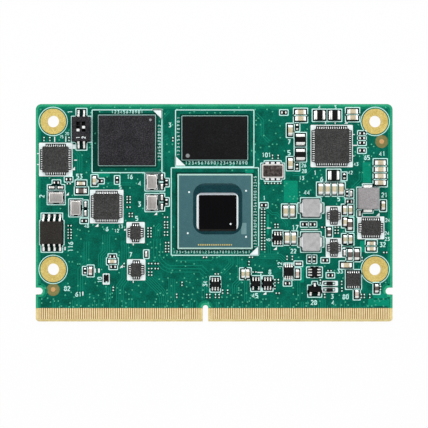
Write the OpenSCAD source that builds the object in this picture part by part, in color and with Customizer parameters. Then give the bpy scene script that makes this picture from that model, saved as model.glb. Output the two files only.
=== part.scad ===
// Compute module: a card-edge circuit board with its processor, memory, power parts and mode switch.
// The origin is the centre of the board's underside. +Y points away from the card edge, +Z to the parts.

/* [Board] */
// Width of the board along its card edge
board_w = 82; // [80:0.5:96]
// Length of the board from the card edge to the far edge
board_l = 50; // [49:0.5:60]
// Thickness of the finished board
board_t = 1.2; // [1:0.1:1.6]
// Radius of the two far corners
far_corner_r = 1.3; // [0.5:0.1:2.5]
// Radius of the two corners at the card edge
near_corner_r = 0.8; // [0.3:0.1:0.9]
// Height of the locating notch in each side edge
notch_w = 1.6; // [1.2:0.1:2]
// Depth of the locating notches
notch_depth = 1.6; // [1.2:0.1:2]
// Distance of the locating notches from the card edge
notch_up = 7; // [5:0.1:7.5]
// Depth of the shallow windows in the solder mask
mask_t = 0.05; // [0.03:0.01:0.08]

/* [Mounting holes] */
// Clear diameter of the plated mounting holes
hole_d = 2.7; // [2.2:0.1:3.2]
// Distance of the holes from the side edges and from the far edge
hole_inset = 4; // [3.8:0.1:4.4]
// Distance of the two near holes from the card edge
hole_up = 12; // [11:0.1:13]
// Diameter of the bare metal ring round each hole
ring_d = 5.9; // [4.5:0.1:6]
// Wall of the metal sleeve in each hole
sleeve_t = 0.06; // [0.04:0.01:0.1]

/* [Fiducial marks] */
// Diameter of a copper fiducial dot
fiducial_d = 1.1; // [0.8:0.1:1.4]
// Diameter of the clear window round a fiducial dot
fiducial_window_d = 3; // [2:0.1:3]
// Distance of each fiducial below its mounting hole
fiducial_drop = 4.6; // [4.5:0.1:5]
// Sideways offset of the far fiducial from its mounting hole
fiducial_shift = 1.5; // [0:0.1:1.6]

/* [Card edge] */
// Spacing of the edge contacts
contact_pitch = 0.5; // [0.5:0.05:0.8]
// Width of an edge contact
contact_w = 0.36; // [0.2:0.02:0.4]
// Length of an edge contact
contact_l = 2.5; // [1.8:0.1:2.8]
// Distance of the outermost contacts from the side edges
contact_margin = 1; // [1:0.1:2]
// Length of the lead-in bevel on the card edge
bevel_l = 0.6; // [0.3:0.1:0.8]
// Depth of the lead-in bevel on each face
bevel_depth = 0.3; // [0.1:0.05:0.4]
// Place of the key slot along the card edge
key_x = -2; // [-6:0.5:6]
// Width of the key slot
key_w = 1.24; // [1:0.02:1.3]
// Depth of the key slot
key_depth = 3.8; // [3.4:0.1:4.5]
// Distance from the key slot's middle to the nearest contact on the upper face
key_gap_upper = 1.5; // [1.2:0.1:2]
// Distance from the key slot's middle to the nearest contact on the lower face
key_gap_lower = 1; // [1:0.1:2]

/* [Processor] */
// Side of the processor's square substrate
processor_w = 17; // [15:0.1:17.6]
// Thickness of the processor's substrate
processor_t = 0.8; // [0.5:0.05:1.2]
// Width of the bare die at its foot
die_w = 9.8; // [7:0.1:10.5]
// Length of the bare die at its foot
die_l = 9; // [7:0.1:9.5]
// Height of the die above the substrate
die_h = 0.5; // [0.45:0.05:0.9]
// Width of the polished slope round the die
die_slope = 0.65; // [0.2:0.05:0.7]
// Offset of the die from the middle of the substrate, along the width
die_x = 0.6; // [-1:0.1:1]
// Width of the sealing fillet round the die
underfill_margin = 0.75; // [0.5:0.05:1.2]
// Extra width of the sealing fillet on its far side
underfill_far = 1.2; // [0:0.1:1.4]
// Height of the sealing fillet
underfill_h = 0.2; // [0.1:0.05:0.3]
// Spacing of the processor's solder balls
processor_pitch = 0.65; // [0.65:0.01:0.68]
// Number of solder balls along each side of the processor
processor_balls = 25; // [15:2:25]

/* [Memory and storage] */
// Width of the memory package
memory_w = 15; // [14.6:0.1:15.5]
// Length of the memory package
memory_l = 10; // [9.6:0.1:10.5]
// Thickness of the memory package
memory_t = 0.8; // [0.5:0.05:1.1]
// Spacing of the memory's solder balls along its width
memory_pitch_w = 0.65; // [0.55:0.01:0.65]
// Spacing of the memory's solder balls along its length
memory_pitch_l = 0.8; // [0.6:0.01:0.8]
// Number of solder balls along the memory's width
memory_balls_w = 22; // [16:2:22]
// Number of solder balls along the memory's length
memory_balls_l = 12; // [8:2:12]
// Width of the storage package
storage_w = 13; // [10:0.1:13.4]
// Length of the storage package
storage_l = 11.5; // [10:0.1:11.8]
// Thickness of the storage package
storage_t = 0.8; // [0.5:0.05:1.1]
// Spacing of the storage chip's solder balls
storage_pitch = 0.5; // [0.45:0.01:0.6]
// Number of solder balls along each side of the storage chip
storage_balls = 14; // [12:2:14]
// Diameter of a solder ball
ball_d = 0.34; // [0.25:0.01:0.4]
// Height of a solder ball after soldering
ball_h = 0.25; // [0.15:0.01:0.35]

/* [Leadless chips] */
// Side of the power manager's square package
power_manager_w = 8; // [7.6:0.1:8.2]
// Number of terminals on each side of the power manager
power_manager_n = 14; // [8:1:14]
// Side of the hub controller's square package
hub_w = 6; // [5.4:0.1:6.2]
// Number of terminals on each side of the hub controller
hub_n = 9; // [6:1:9]
// Side of the network transceiver's square package
network_w = 6; // [5.6:0.1:6.2]
// Number of terminals on each side of the network transceiver
network_n = 12; // [8:1:12]
// Spacing of the network transceiver's terminals
network_pitch = 0.4; // [0.35:0.01:0.42]
// Width of a level shifter
shifter_w = 2.5; // [2.3:0.1:2.7]
// Length of a level shifter
shifter_l = 3.15; // [2.9:0.05:3.3]
// Width of a point-of-load regulator
regulator_w = 2; // [1.9:0.05:2.2]
// Length of a point-of-load regulator
regulator_l = 2.8; // [2.5:0.05:2.9]
// Width of the main converter
converter_w = 4.5; // [4.4:0.1:4.7]
// Length of the main converter
converter_l = 3.5; // [3.2:0.05:3.6]
// Width of the load switch
load_switch_w = 3.2; // [3.1:0.1:3.4]
// Length of the load switch
load_switch_l = 3; // [2.6:0.05:3.1]
// Thickness of the leadless packages
leadless_t = 0.85; // [0.6:0.05:1]
// Spacing of the terminals on the other leadless chips
leadless_pitch = 0.5; // [0.45:0.01:0.5]
// Width of a solder land under a leadless terminal
land_w = 0.26; // [0.18:0.01:0.3]
// Reach of a solder land outside its package
land_out = 0.52; // [0.2:0.02:0.56]
// Reach of a solder land under its package
land_in = 0.3; // [0.2:0.02:0.35]
// Thickness of the soldered lands
land_t = 0.06; // [0.03:0.01:0.1]
// Gap between the solder lands and the pad under the middle of a package
pad_gap = 0.2; // [0.15:0.01:0.3]
// Radius of the dimple beside a leadless chip's first terminal
dimple_r = 0.3; // [0.2:0.02:0.36]
// Depth of the dimple
dimple_depth = 0.06; // [0.03:0.01:0.1]
// Cut corners of the leadless packages
leadless_cut = 0.25; // [0.1:0.05:0.3]

/* [Leaded chips] */
// Width of the boot memory's moulded body
flash_w = 5.2; // [4.6:0.1:5.3]
// Length of the boot memory's moulded body
flash_l = 5.2; // [4.8:0.1:5.4]
// Thickness of the boot memory's moulded body
flash_t = 1.7; // [1.2:0.1:2]
// Spacing of the boot memory's leads
flash_pitch = 1.27; // [1.1:0.01:1.3]
// Reach of the boot memory's leads past its body
flash_reach = 1.55; // [1.2:0.05:1.7]
// Width of a logic gate's moulded body
gate_w = 2.1; // [1.8:0.1:2.2]
// Length of a logic gate's moulded body
gate_l = 1.25; // [1.1:0.05:1.3]
// Thickness of the small moulded bodies
small_body_t = 0.8; // [0.6:0.05:1]
// Spacing of a logic gate's leads
gate_pitch = 0.65; // [0.55:0.01:0.7]
// Width of the supervisor chip's moulded body
supervisor_w = 2.1; // [2:0.05:2.2]
// Length of the supervisor chip's moulded body
supervisor_l = 2; // [1.8:0.05:2.1]
// Spacing of the supervisor chip's leads
supervisor_pitch = 0.5; // [0.45:0.01:0.52]
// Width of the transistor's moulded body
transistor_w = 2.7; // [2.4:0.1:2.8]
// Length of the transistor's moulded body
transistor_l = 1.3; // [1.1:0.05:1.4]
// Spacing of the transistor's two near leads
transistor_pitch = 1.9; // [1.7:0.05:2]
// Reach of the small chips' leads past their bodies
small_reach = 0.75; // [0.5:0.05:0.85]
// Width of a lead on the small chips
small_lead_w = 0.28; // [0.2:0.01:0.32]
// Width of a lead on the boot memory and the transistor
wide_lead_w = 0.45; // [0.35:0.01:0.5]
// Thickness of the bent leads
lead_t = 0.15; // [0.1:0.01:0.2]
// Gap between a moulded body and the board
standoff = 0.1; // [0.05:0.01:0.15]
// Draft of the moulded bodies, from the parting line to the faces
draft = 0.12; // [0.05:0.01:0.2]

/* [Mode switch] */
// Width of the switch housing
switch_w = 4.2; // [3.8:0.1:4.4]
// Length of the switch housing
switch_l = 5.6; // [5.2:0.1:5.8]
// Height of the switch housing above the board
switch_h = 1.6; // [1.5:0.05:2]
// Height of the switch base
switch_base_h = 0.55; // [0.4:0.05:0.6]
// Spacing of the two sliders and of their terminals
switch_pitch = 1.27; // [1.25:0.01:1.35]
// Travel of a slider between its two positions
slider_travel = 0.65; // [0.5:0.05:0.7]
// Clearance round a slider
slider_clear = 0.05; // [0.04:0.01:0.06]
// Width of the slider's knob
knob_w = 0.7; // [0.5:0.05:0.75]
// Length of the slider's knob
knob_l = 0.6; // [0.5:0.05:0.65]
// Offset of a knob's middle position from the middle of the housing
knob_y = 0.05; // [0:0.05:0.1]
// Depth of the knob's top below the housing's top
knob_recess = 0.05; // [0.02:0.01:0.1]
// Width of the slider's carriage
carriage_w = 0.95; // [0.9:0.01:0.98]
// Length of the slider's carriage
carriage_l = 1.2; // [1:0.05:1.3]
// Height of the slider's carriage
carriage_h = 0.45; // [0.3:0.05:0.5]
// Length of the open contact port beyond each slider
port_l = 0.8; // [0.6:0.05:0.9]
// Width of the bar between a slider's window and its port
port_bar = 0.12; // [0.1:0.01:0.2]
// Length of a switch terminal inside the base
terminal_in = 2.3; // [1.8:0.05:2.5]
// Reach of a switch terminal past the housing
terminal_reach = 1.6; // [1.2:0.05:1.65]

/* [Crystals and oscillator] */
// Length of a crystal's ceramic base
crystal_w = 3.35; // [2.9:0.05:3.7]
// Width of a crystal's ceramic base
crystal_l = 2.45; // [2.2:0.05:2.95]
// Height of the ceramic bases
ceramic_h = 0.45; // [0.3:0.05:0.6]
// Height of the metal lids
lid_h = 0.2; // [0.1:0.05:0.3]
// Margin of the ceramic round a crystal's lid
lid_margin = 0.1; // [0.05:0.01:0.25]
// Margin of the ceramic round the oscillator's lid
oscillator_lid_margin = 0.32; // [0.25:0.01:0.45]
// Radius of a lid's corners
lid_r = 0.3; // [0.1:0.05:0.4]
// Radius of the corner grooves in the ceramic bases
groove_r = 0.15; // [0.1:0.01:0.18]
// Length of the oscillator's ceramic base
oscillator_w = 5; // [4.8:0.1:5.2]
// Width of the oscillator's ceramic base
oscillator_l = 3.2; // [3:0.1:3.3]
// Spacing of the oscillator's solder lands
oscillator_pitch = 1.27; // [1.2:0.01:1.35]
// Width of the oscillator's solder lands
oscillator_land_w = 0.85; // [0.6:0.05:0.9]
// Length of a crystal's corner lands
crystal_land_l = 1.1; // [0.9:0.05:1.2]
// Width of a crystal's corner lands
crystal_land_w = 0.9; // [0.7:0.05:1]
// Reach of a crystal's corner lands past its ceramic base
crystal_land_out = 0.1; // [0.05:0.01:0.15]

/* [Coils] */
// Width of a regulator coil's body, across its bulging sides
coil_w = 4.5; // [4:0.05:4.6]
// Length of a regulator coil's body
coil_l = 4.1; // [3.8:0.05:4.2]
// Height of a regulator coil's body
coil_h = 1.9; // [1.4:0.1:2.2]
// Depth of the step at the corners of a regulator coil
coil_step = 0.25; // [0.2:0.05:0.4]
// Width of the input coil's body
input_coil_w = 4.75; // [4.5:0.05:4.8]
// Length of the input coil's body
input_coil_l = 4.85; // [4.6:0.05:4.9]
// Height of the input coil's body
input_coil_h = 2.4; // [1.8:0.1:3]
// Chamfer on the coils' upright edges
coil_chamfer = 0.25; // [0.1:0.05:0.3]
// Width of a coil's terminal strips
strip_w = 2; // [1.6:0.05:2.2]
// Thickness of a coil's terminal strips
strip_t = 0.1; // [0.08:0.01:0.15]
// Height of a terminal strip on the coil's side
strip_h = 0.9; // [0.5:0.05:1.2]
// Reach of a terminal strip under the coil
strip_in = 0.9; // [0.6:0.05:1.2]
// Reach of the solder toe beyond the input coil
strip_toe = 0.6; // [0.3:0.05:0.7]
// Thickness of the clips on the regulator coils' sides
clip_t = 0.26; // [0.15:0.01:0.3]
// Size of the solder fillet between a terminal's wall and its toe
strip_fillet = 0.15; // [0.08:0.01:0.2]

/* [Chip parts] */
// Length of a bulk capacitor
bulk_l = 2; // [1.8:0.05:2.1]
// Width of a bulk capacitor
bulk_w = 1.05; // [0.9:0.05:1.15]
// Height of a bulk capacitor
bulk_h = 0.95; // [0.7:0.05:1.2]
// Length of a decoupling capacitor
chip_l = 1.55; // [1.4:0.05:1.6]
// Width of a decoupling capacitor
chip_w = 0.8; // [0.6:0.05:0.85]
// Height of a decoupling capacitor
chip_h = 0.75; // [0.5:0.05:0.9]
// Length of a resistor or load capacitor
small_l = 1; // [0.9:0.05:1.05]
// Width of a resistor or load capacitor
small_w = 0.5; // [0.4:0.02:0.54]
// Height of a load capacitor
load_cap_h = 0.5; // [0.4:0.02:0.56]
// Height of a resistor
resistor_h = 0.35; // [0.3:0.01:0.5]
// Length of a miniature chip part
tiny_l = 0.6; // [0.5:0.02:0.64]
// Width of a miniature chip part
tiny_w = 0.3; // [0.25:0.01:0.34]
// Height of a miniature chip part
tiny_h = 0.28; // [0.2:0.01:0.34]
// Length of a ferrite choke
ferrite_l = 2.1; // [1.9:0.05:2.2]
// Width of a ferrite choke
ferrite_w = 2.05; // [1.8:0.05:2.2]
// Height of a ferrite choke
ferrite_h = 1.2; // [0.8:0.05:1.6]
// Length of a diode's body
diode_l = 1.5; // [1.3:0.05:1.6]
// Width of a diode's body
diode_w = 0.9; // [0.7:0.05:1]
// Height of a diode's body
diode_h = 0.7; // [0.5:0.05:0.9]

/* [Hidden] */
$fn = 48;

// Layout grid: steps of the placement drawing over the whole board, and the length of one step
layout_size = [82, 50];
step_x = board_w / layout_size[0];
step_y = board_l / layout_size[1];

// Cutters run past the faces that they cut by this much
over = board_t / 2;

half_w = board_w / 2;
half_l = board_l / 2;
hole_x = half_w - hole_inset;
hole_far_y = half_l - hole_inset;
hole_near_y = hole_up - half_l;
strip_l = bevel_l + contact_l;
contact_y = bevel_l - half_l;

// Metal end caps and solder toes as shares of the chip part that carries them: cap, toe, the miniature
// parts' longer toe, and toe height
cap_share = 0.2;
toe_share = 0.11;
tiny_toe_share = 0.34;
toe_rise = 0.6;

// Bends of a lead as shares of its reach: where it turns down and where its foot begins
knee_share = 0.3;
foot_share = 0.55;

// Terminals along the width and along the length of the leadless chips
shifter_n = [3, 4];
regulator_n = [3, 3];
converter_n = [8, 4];
load_switch_n = [6, 0];

// Leads in a row of the moulded chips
flash_n = 4;
supervisor_n = 4;
gate_n = 3;

// Rounding slack for the number of contacts that fit in a row
count_slack = 0.001;

// Space of a slider: its window in the roof and its cavity under it
window_l = knob_l + slider_travel + 2 * slider_clear;
cavity_w = carriage_w + 2 * slider_clear;
cavity_l = carriage_l + slider_travel + 2 * slider_clear;
cavity_h = carriage_h + 2 * slider_clear;

// Rows of equal parts on the layout grid: the first part's spot and the step to the next
edge_row = [38.15, 11.5, 1.53];
middle_row = [24.45, 5.45, 1.57];
tiny_row = [11.25, 0.85, 0.66];

// Spots on the layout grid: steps from the board's centre, then the turn in degrees
processor_spot = [0.2, 0.3, 0];
memory_spot = [0.15, 17.2, 0];
storage_spot = [-20.05, 16.65, 0];
power_manager_spot = [27, 15.35, 0];
hub_spot = [-36.4, 12.25, 0];
network_spot = [-24.7, 1.45, 0];
flash_spot = [-37.3, -4.55, 0];
switch_spot = [-30.5, 19.2, 0];
converter_spot = [36, -3.45, 0];
supervisor_spot = [17.1, -13.5, 0];
load_switch_spot = [32, -15.3, 0];
transistor_spot = [23.1, -17.55, 0];
oscillator_spot = [13.45, 9.6, 0];
input_coil_spot = [35.3, 3.3, 0];
crystal_spots = [[-36.3, 3.5, 0], [-31.8, 1.15, 90], [-14.3, 7.1, 90], [-14.3, 2.35, 90]];
coil_spots = [[22.2, 1.1, 0], [22.2, -6.7, 0]];
shifter_spots = [[-18.05, -4.55, 0], [-17.9, -13.1, 0]];
regulator_spots = [[27.5, -0.7, 0], [27.5, -8.05, 0]];
six_lead_spots = [[14.6, -5.8, 0], [0.25, -16.4, 0], [12.3, -16.25, 0], [23.05, -13.65, 90]];
five_lead_spots = [[9.6, -16.25, 0]];
gate_spots = concat(six_lead_spots, five_lead_spots);
diode_spots = [[26.5, -16.2, 0], [26.5, -17.7, 0], [-24.75, -15, 90]];
ferrite_spots = [
    [24.2, 22.4, 0], [27.65, 22.4, 0], [27.45, 8.6, 0], [19.8, 16.8, 90], [19.8, 13.35, 90]
];
bulk_spots = [
    [19.85, 23.1, 0], [19.85, 21.65, 0], [31.8, 23.25, 0], [31.8, 21.85, 0], [30.35, -12, 0],
    [-30.5, 5.05, 0], [17.5, 18.95, 90], [17.5, 11.3, 90], [16.4, 0.4, 90], [17.95, 0.4, 90],
    [16.75, -5.8, 90], [18.25, -5.8, 90], [31.2, -9.6, 90], [32.75, -9.6, 90], [31.15, -2.7, 90],
    for (i = [0 : 3]) [edge_row[0], edge_row[1] - edge_row[2] * i, 0],
    for (i = [0 : 3]) [middle_row[0] + middle_row[2] * i, middle_row[1], 90]
];
chip_spots = [
    [-30.6, 6.75, 0], [-23.4, -11.15, 0], [36.1, -7, 0], [36.1, -8.25, 0], [-27.5, 7.4, 90],
    [38.8, 1.65, 90], [30, 0.65, 90], [31.3, 0.65, 90], [30.05, -2.1, 90], [30.05, -6.1, 90],
    [31.3, -6.1, 90], [26.4, -4.4, 90], [-28.4, -13.35, 90], [6.65, -14, 90], [7.7, -14, 90],
    [19.1, -14, 90], [32.75, -18.65, 90], [37.3, -17.35, 90]
];
load_cap_spots = [
    [-37.35, 5.85, 0], [-35.3, 5.85, 0], [19.35, -11.7, 0], [-29.55, 1.95, 90], [-29.55, -0.05, 90],
    [-12, 8.2, 90], [-12, 6, 90], [-12, 3.5, 90], [-12, 1.4, 90], [29.95, -9.2, 90],
    [-15.6, -9.5, 90], [33.4, -0.05, 90], [31.45, 4.4, 90]
];
resistor_spots = [
    [16, 23.05, 0], [33.95, 18.25, 0], [33.95, 17.15, 0], [33.95, 16.1, 0], [33.95, 14.3, 0],
    [-36.25, 6.95, 0], [-33.45, 7.7, 0], [-26.25, 7.3, 0], [-29.85, -1.85, 0], [11.4, 1.75, 0],
    [20.8, -2.65, 0], [22.6, -2.65, 0], [31.1, 2.6, 0], [-23.4, -10.05, 0], [-23.2, -12.4, 0],
    [16.85, -16.2, 0], [25.5, -10.9, 0], [26.7, -14.35, 0], [19.05, 19.7, 90], [19.05, 10.6, 90],
    [29.9, 8.4, 90], [-22.3, 7.55, 90], [-10.95, 6.95, 90], [-10.95, 2.5, 90], [30.55, 4.4, 90],
    [-29.65, -13.3, 90], [21.9, -10.65, 90], [22.95, -10.65, 90]
];
tiny_spots = [
    for (x = [12.05, 13.5, 14.95]) [x, 6.8, 0],
    for (y = [-2.95, -3.85, -4.5, -5.15, -5.8]) [-33.2, y, 0],
    for (y = [3.7, 3.1, 2.4, 1.3]) [-19.65, y, 0],
    for (y = [-0.15, -0.8]) [-19.15, y, 0],
    for (y = [-3.5, -4.15, -4.8, -5.45]) [-14.85, y, 0],
    for (y = [-1, -2.1, -2.75, -3.4, -4.4, -5.1]) [-11.05, y, 0],
    for (y = [-6.85, -7.6, -8.25, -8.9]) [-10.8, y, 0],
    for (y = [-11.65, -12.8, -13.6, -14.3]) [-14.7, y, 0],
    for (y = [-11.65, -12.8]) [-13.2, y, 0],
    for (y = [-3.3, -4, -4.65]) [28.15, y, 0],
    for (i = [0 : 14]) [tiny_row[0], tiny_row[1] - tiny_row[2] * i, 0],
    [-33.4, 6.7, 0], [-2.1, -10.2, 0], [0.6, -14.05, 0], [8.45, -10.2, 0], [9.25, -13.6, 0],
    [14.6, -18.45, 0], [25.1, -3.3, 0], [26.5, -13.3, 0], [39.3, -9.1, 0],
    for (x = [-39.1, -37.75, -33.35]) [x, 16.95, 90],
    for (x = [13.4, 14.7]) [x, 12.85, 90],
    for (x = [14, 14.65]) [x, -3, 90],
    for (x = [-1.7, -1, 0.3, 1.15, 33.8, 34.5, 35.75]) [x, -19.1, 90],
    for (x = [1.95, 3.1]) [x, -18.1, 90],
    for (x = [13.95, 14.75]) [x, -15.7, 90],
    for (x = [16.75, 17.95]) [x, -10.35, 90],
    [-9.5, 16.9, 90], [-20.7, -12, 90], [-23.2, -17.45, 90], [-7.4, -16.3, 90], [-8.6, -19.05, 90],
    [8, -11.55, 90], [13.95, -17.1, 90], [33.95, -10.6, 90], [29.3, -16.1, 90], [29.35, -17.6, 90],
    [24.4, -15.8, 90], [25.4, -19.05, 90], [38.2, -17.25, 90]
];

// Sets its children on the upper face of the board at each spot of a list
module place(spots) {
    for (spot = spots)
        translate([spot[0] * step_x, spot[1] * step_y, board_t])
            rotate(spot[2])
                children();
}

// Box that is centred on its spot and stands on it
module block(w, l, h) {
    translate([-w / 2, -l / 2, 0])
        cube([w, l, h]);
}

// Plate with round corners
module round_plate(w, l, h, r) {
    linear_extrude(h)
        union() {
            square([w - 2 * r, l], center = true);
            square([w, l - 2 * r], center = true);
            for (x = [r - w / 2, w / 2 - r], y = [r - l / 2, l / 2 - r])
                translate([x, y])
                    circle(r);
        }
}

// Block whose walls lean in by the given amount from foot to top
module leaning_block(w, l, h, lean) {
    intersection() {
        rotate([90, 0, 0])
            linear_extrude(l, center = true)
                polygon([[-w / 2, 0], [w / 2, 0], [w / 2 - lean, h], [lean - w / 2, h]]);
        rotate([90, 0, 90])
            linear_extrude(w, center = true)
                polygon([[-l / 2, 0], [l / 2, 0], [l / 2 - lean, h], [lean - l / 2, h]]);
    }
}

// Outline points of one quarter, carried round all four quarters
function four_quarters(points) =
    let (back = [for (i = [len(points) - 1 : -1 : 0]) points[i]])
        concat(
            points,
            [for (p = back) [-p[0], p[1]]],
            [for (p = points) [-p[0], -p[1]]],
            [for (p = back) [p[0], -p[1]]]
        );

// Outline of a moulded body's end view, with a flat band at the parting line where the leads leave
module moulded_outline(w, h) {
    translate([0, h / 2])
        polygon(four_quarters([[w / 2, lead_t / 2], [w / 2 - draft, h / 2]]));
}

// Moulded body with draft on all four walls, raised off the board
module moulded_body(w, l, h) {
    translate([0, 0, standoff])
        intersection() {
            rotate([90, 0, 0])
                linear_extrude(l, center = true)
                    moulded_outline(w, h);
            rotate([90, 0, 90])
                linear_extrude(w, center = true)
                    moulded_outline(l, h);
        }
}

// Bent lead that leaves a wall at the given height and ends flat on the board, running along +Y
module bent_lead(width, height, reach) {
    knee = reach * knee_share;
    foot = reach * foot_share;
    rotate([90, 0, 90])
        linear_extrude(width, center = true)
            polygon([
                [0, height - lead_t / 2], [knee - lead_t / 2, height - lead_t / 2], [foot - lead_t, 0],
                [reach, 0], [reach, lead_t], [foot, lead_t], [knee + lead_t / 2, height + lead_t / 2],
                [0, height + lead_t / 2]
            ]);
}

// Row of bent leads along the far side of a moulded body
module lead_row(n, pitch, width, l, h, reach) {
    for (i = [0 : n - 1])
        translate([(i - (n - 1) / 2) * pitch, l / 2, 0])
            bent_lead(width, standoff + h / 2, reach);
}

// Leadless package resting on its solder lands, with cut corners and a dimple beside its first terminal
module leadless_body(w, l) {
    difference() {
        translate([0, 0, land_t])
            linear_extrude(leadless_t)
                polygon(four_quarters([[w / 2, l / 2 - leadless_cut], [w / 2 - leadless_cut, l / 2]]));
        translate([2 * dimple_r - w / 2, 2 * dimple_r - l / 2, land_t + leadless_t - dimple_depth])
            cylinder(r = dimple_r, h = over);
    }
}

// Row of solder lands along the far side of a leadless package
module land_row(n, pitch, l) {
    for (i = [0 : n - 1])
        translate([(i - (n - 1) / 2) * pitch, l / 2 + (land_out - land_in) / 2, 0])
            block(land_w, land_out + land_in, land_t);
}

// Solder lands round a leadless package, and the pad under its middle
module leadless_lands(w, l, n, pitch) {
    for (turn = [0, 180]) {
        rotate(turn)
            land_row(n[0], pitch, l);
        if (n[1] > 0)
            rotate(turn + 90)
                land_row(n[1], pitch, w);
    }
    block(w - 2 * (land_in + pad_gap), l - 2 * (land_in + pad_gap), land_t);
}

// Body of a chip part between its two metal end caps
module chip_core(l, w, h) {
    block(l * (1 - 2 * cap_share), w, h);
}

// Metal end caps of a chip part, each with its sloping solder toe
module chip_caps(l, w, h, share = toe_share) {
    cap = l * cap_share;
    toe = l * share;
    for (turn = [0, 180])
        rotate(turn)
            translate([l / 2 - cap, 0, 0])
                rotate([90, 0, 0])
                    linear_extrude(w, center = true)
                        polygon([[0, 0], [cap + toe, 0], [cap, h * toe_rise], [cap, h], [0, h]]);
}

// Square grid of solder balls under a package, with the places that the pattern leaves out
module ball_grid(n_w, n_l, pitch_w, pitch_l, places) {
    for (i = [0 : n_w - 1], j = [0 : n_l - 1])
        if (places[i][j])
            translate([(i - (n_w - 1) / 2) * pitch_w, (j - (n_l - 1) / 2) * pitch_l, 0])
                cylinder(d = ball_d, h = ball_h);
}

// Ceramic base with a groove up each corner
module ceramic_base(w, l) {
    difference() {
        translate([0, 0, land_t])
            block(w, l, ceramic_h);
        for (x = [-w / 2, w / 2], y = [-l / 2, l / 2])
            translate([x, y, 0])
                cylinder(r = groove_r, h = land_t + ceramic_h + over);
    }
}

// Metal lid welded on a ceramic base
module ceramic_lid(w, l, margin) {
    translate([0, 0, land_t + ceramic_h])
        round_plate(w - 2 * margin, l - 2 * margin, lid_h, lid_r);
}

// Coil terminal: a strip that runs under the body, up its wall and out to a solder toe, along +Y
module coil_strip(l, wall, toe) {
    tip = l / 2 + wall + toe;
    rotate([90, 0, 90])
        linear_extrude(strip_w, center = true)
            polygon([
                [l / 2 - strip_in, 0], [tip, 0], [tip, strip_t], [l / 2 + wall + strip_fillet, strip_t],
                [l / 2 + wall, strip_t + strip_fillet], [l / 2 + wall, strip_h], [l / 2, strip_h],
                [l / 2, strip_t], [l / 2 - strip_in, strip_t]
            ]);
}

// Window of a side notch, open to the side edge, with a round inner end
module notch_cutter() {
    translate([half_w - notch_depth + notch_w / 2, notch_up - half_l, -over])
        union() {
            cylinder(d = notch_w, h = board_t + 2 * over);
            translate([0, -notch_w / 2, 0])
                cube([notch_depth, notch_w, board_t + 2 * over]);
        }
}

// Key slot, open to the card edge, with a round inner end
module key_cutter() {
    translate([key_x, key_depth - key_w / 2 - half_l, -over])
        union() {
            cylinder(d = key_w, h = board_t + 2 * over);
            translate([-key_w / 2, -key_depth, 0])
                cube([key_w, key_depth, board_t + 2 * over]);
        }
}

// Lead-in bevels on both faces of the card edge, and the mask-free strip that carries the contacts
module card_edge_cutter() {
    rotate([90, 0, 90])
        linear_extrude(board_w + 2 * over, center = true)
            for (flip = [0, 1])
                translate([-half_l, flip * board_t])
                    mirror([0, flip])
                        polygon([
                            [-over, -over], [strip_l, -over], [strip_l, mask_t], [bevel_l, mask_t],
                            [0, mask_t + bevel_depth], [-over, mask_t + bevel_depth]
                        ]);
}

// Outline of the board before its cuts
module board_blank() {
    linear_extrude(board_t)
        union() {
            translate([-half_w, near_corner_r - half_l])
                square([board_w, board_l - near_corner_r - far_corner_r]);
            translate([near_corner_r - half_w, -half_l])
                square([board_w - 2 * near_corner_r, board_l / 2]);
            translate([far_corner_r - half_w, 0])
                square([board_w - 2 * far_corner_r, board_l / 2]);
            for (side = [-1, 1]) {
                translate([side * (half_w - near_corner_r), near_corner_r - half_l])
                    circle(near_corner_r);
                translate([side * (half_w - far_corner_r), half_l - far_corner_r])
                    circle(far_corner_r);
            }
        }
}

// Sets its children at the four mounting holes
module at_holes() {
    for (x = [-hole_x, hole_x], y = [hole_near_y, hole_far_y])
        translate([x, y, 0])
            children();
}

// Sets its children at the two fiducial marks
module at_fiducials() {
    translate([hole_x + fiducial_shift, hole_far_y - fiducial_drop, board_t - mask_t])
        children();
    translate([-hole_x, hole_near_y - fiducial_drop, board_t - mask_t])
        children();
}

// Laminate with its solder mask
module circuit_board() {
    color([0, 0.42, 0.34])
        difference() {
            board_blank();
            notch_cutter();
            mirror([1, 0, 0])
                notch_cutter();
            key_cutter();
            card_edge_cutter();
            at_holes() {
                translate([0, 0, -over])
                    cylinder(d = hole_d + 2 * sleeve_t, h = board_t + 2 * over);
                translate([0, 0, mask_t - over])
                    cylinder(d = ring_d, h = over);
                translate([0, 0, board_t - mask_t])
                    cylinder(d = ring_d, h = over);
            }
            at_fiducials()
                cylinder(d = fiducial_window_d, h = over);
        }
}

// Metal sleeves of the mounting holes, with a bare ring on each face
module hole_plating() {
    color([0.87, 0.74, 0.47])
        at_holes()
            difference() {
                union() {
                    cylinder(d = hole_d + 2 * sleeve_t, h = board_t);
                    cylinder(d = ring_d, h = mask_t);
                    translate([0, 0, board_t - mask_t])
                        cylinder(d = ring_d, h = mask_t);
                }
                translate([0, 0, -over])
                    cylinder(d = hole_d, h = board_t + 2 * over);
            }
}

// Row of contacts on each side of the key slot, filling the strip up to the side margins
module contact_row(key_gap) {
    for (side = [-1, 1]) {
        first = side * key_x + key_gap;
        count = floor((half_w - contact_margin - first) / contact_pitch + count_slack);
        for (i = [0 : count])
            translate([side * (first + i * contact_pitch) - contact_w / 2, contact_y, 0])
                cube([contact_w, contact_l, mask_t]);
    }
}

// Gold contacts on the upper face of the card edge
module edge_contacts_upper() {
    color([0.87, 0.74, 0.47])
        translate([0, 0, board_t - mask_t])
            contact_row(key_gap_upper);
}

// Gold contacts on the lower face of the card edge
module edge_contacts_lower() {
    color([0.87, 0.74, 0.47])
        contact_row(key_gap_lower);
}

// Copper dots for placing the parts
module fiducials() {
    color([0.9, 0.68, 0.45])
        at_fiducials()
            cylinder(d = fiducial_d, h = mask_t);
}

// Laminate that carries the bare die
module processor_substrate() {
    color([0.27, 0.44, 0.47])
        place([processor_spot])
            translate([0, 0, ball_h])
                block(processor_w, processor_w, processor_t);
}

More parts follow.
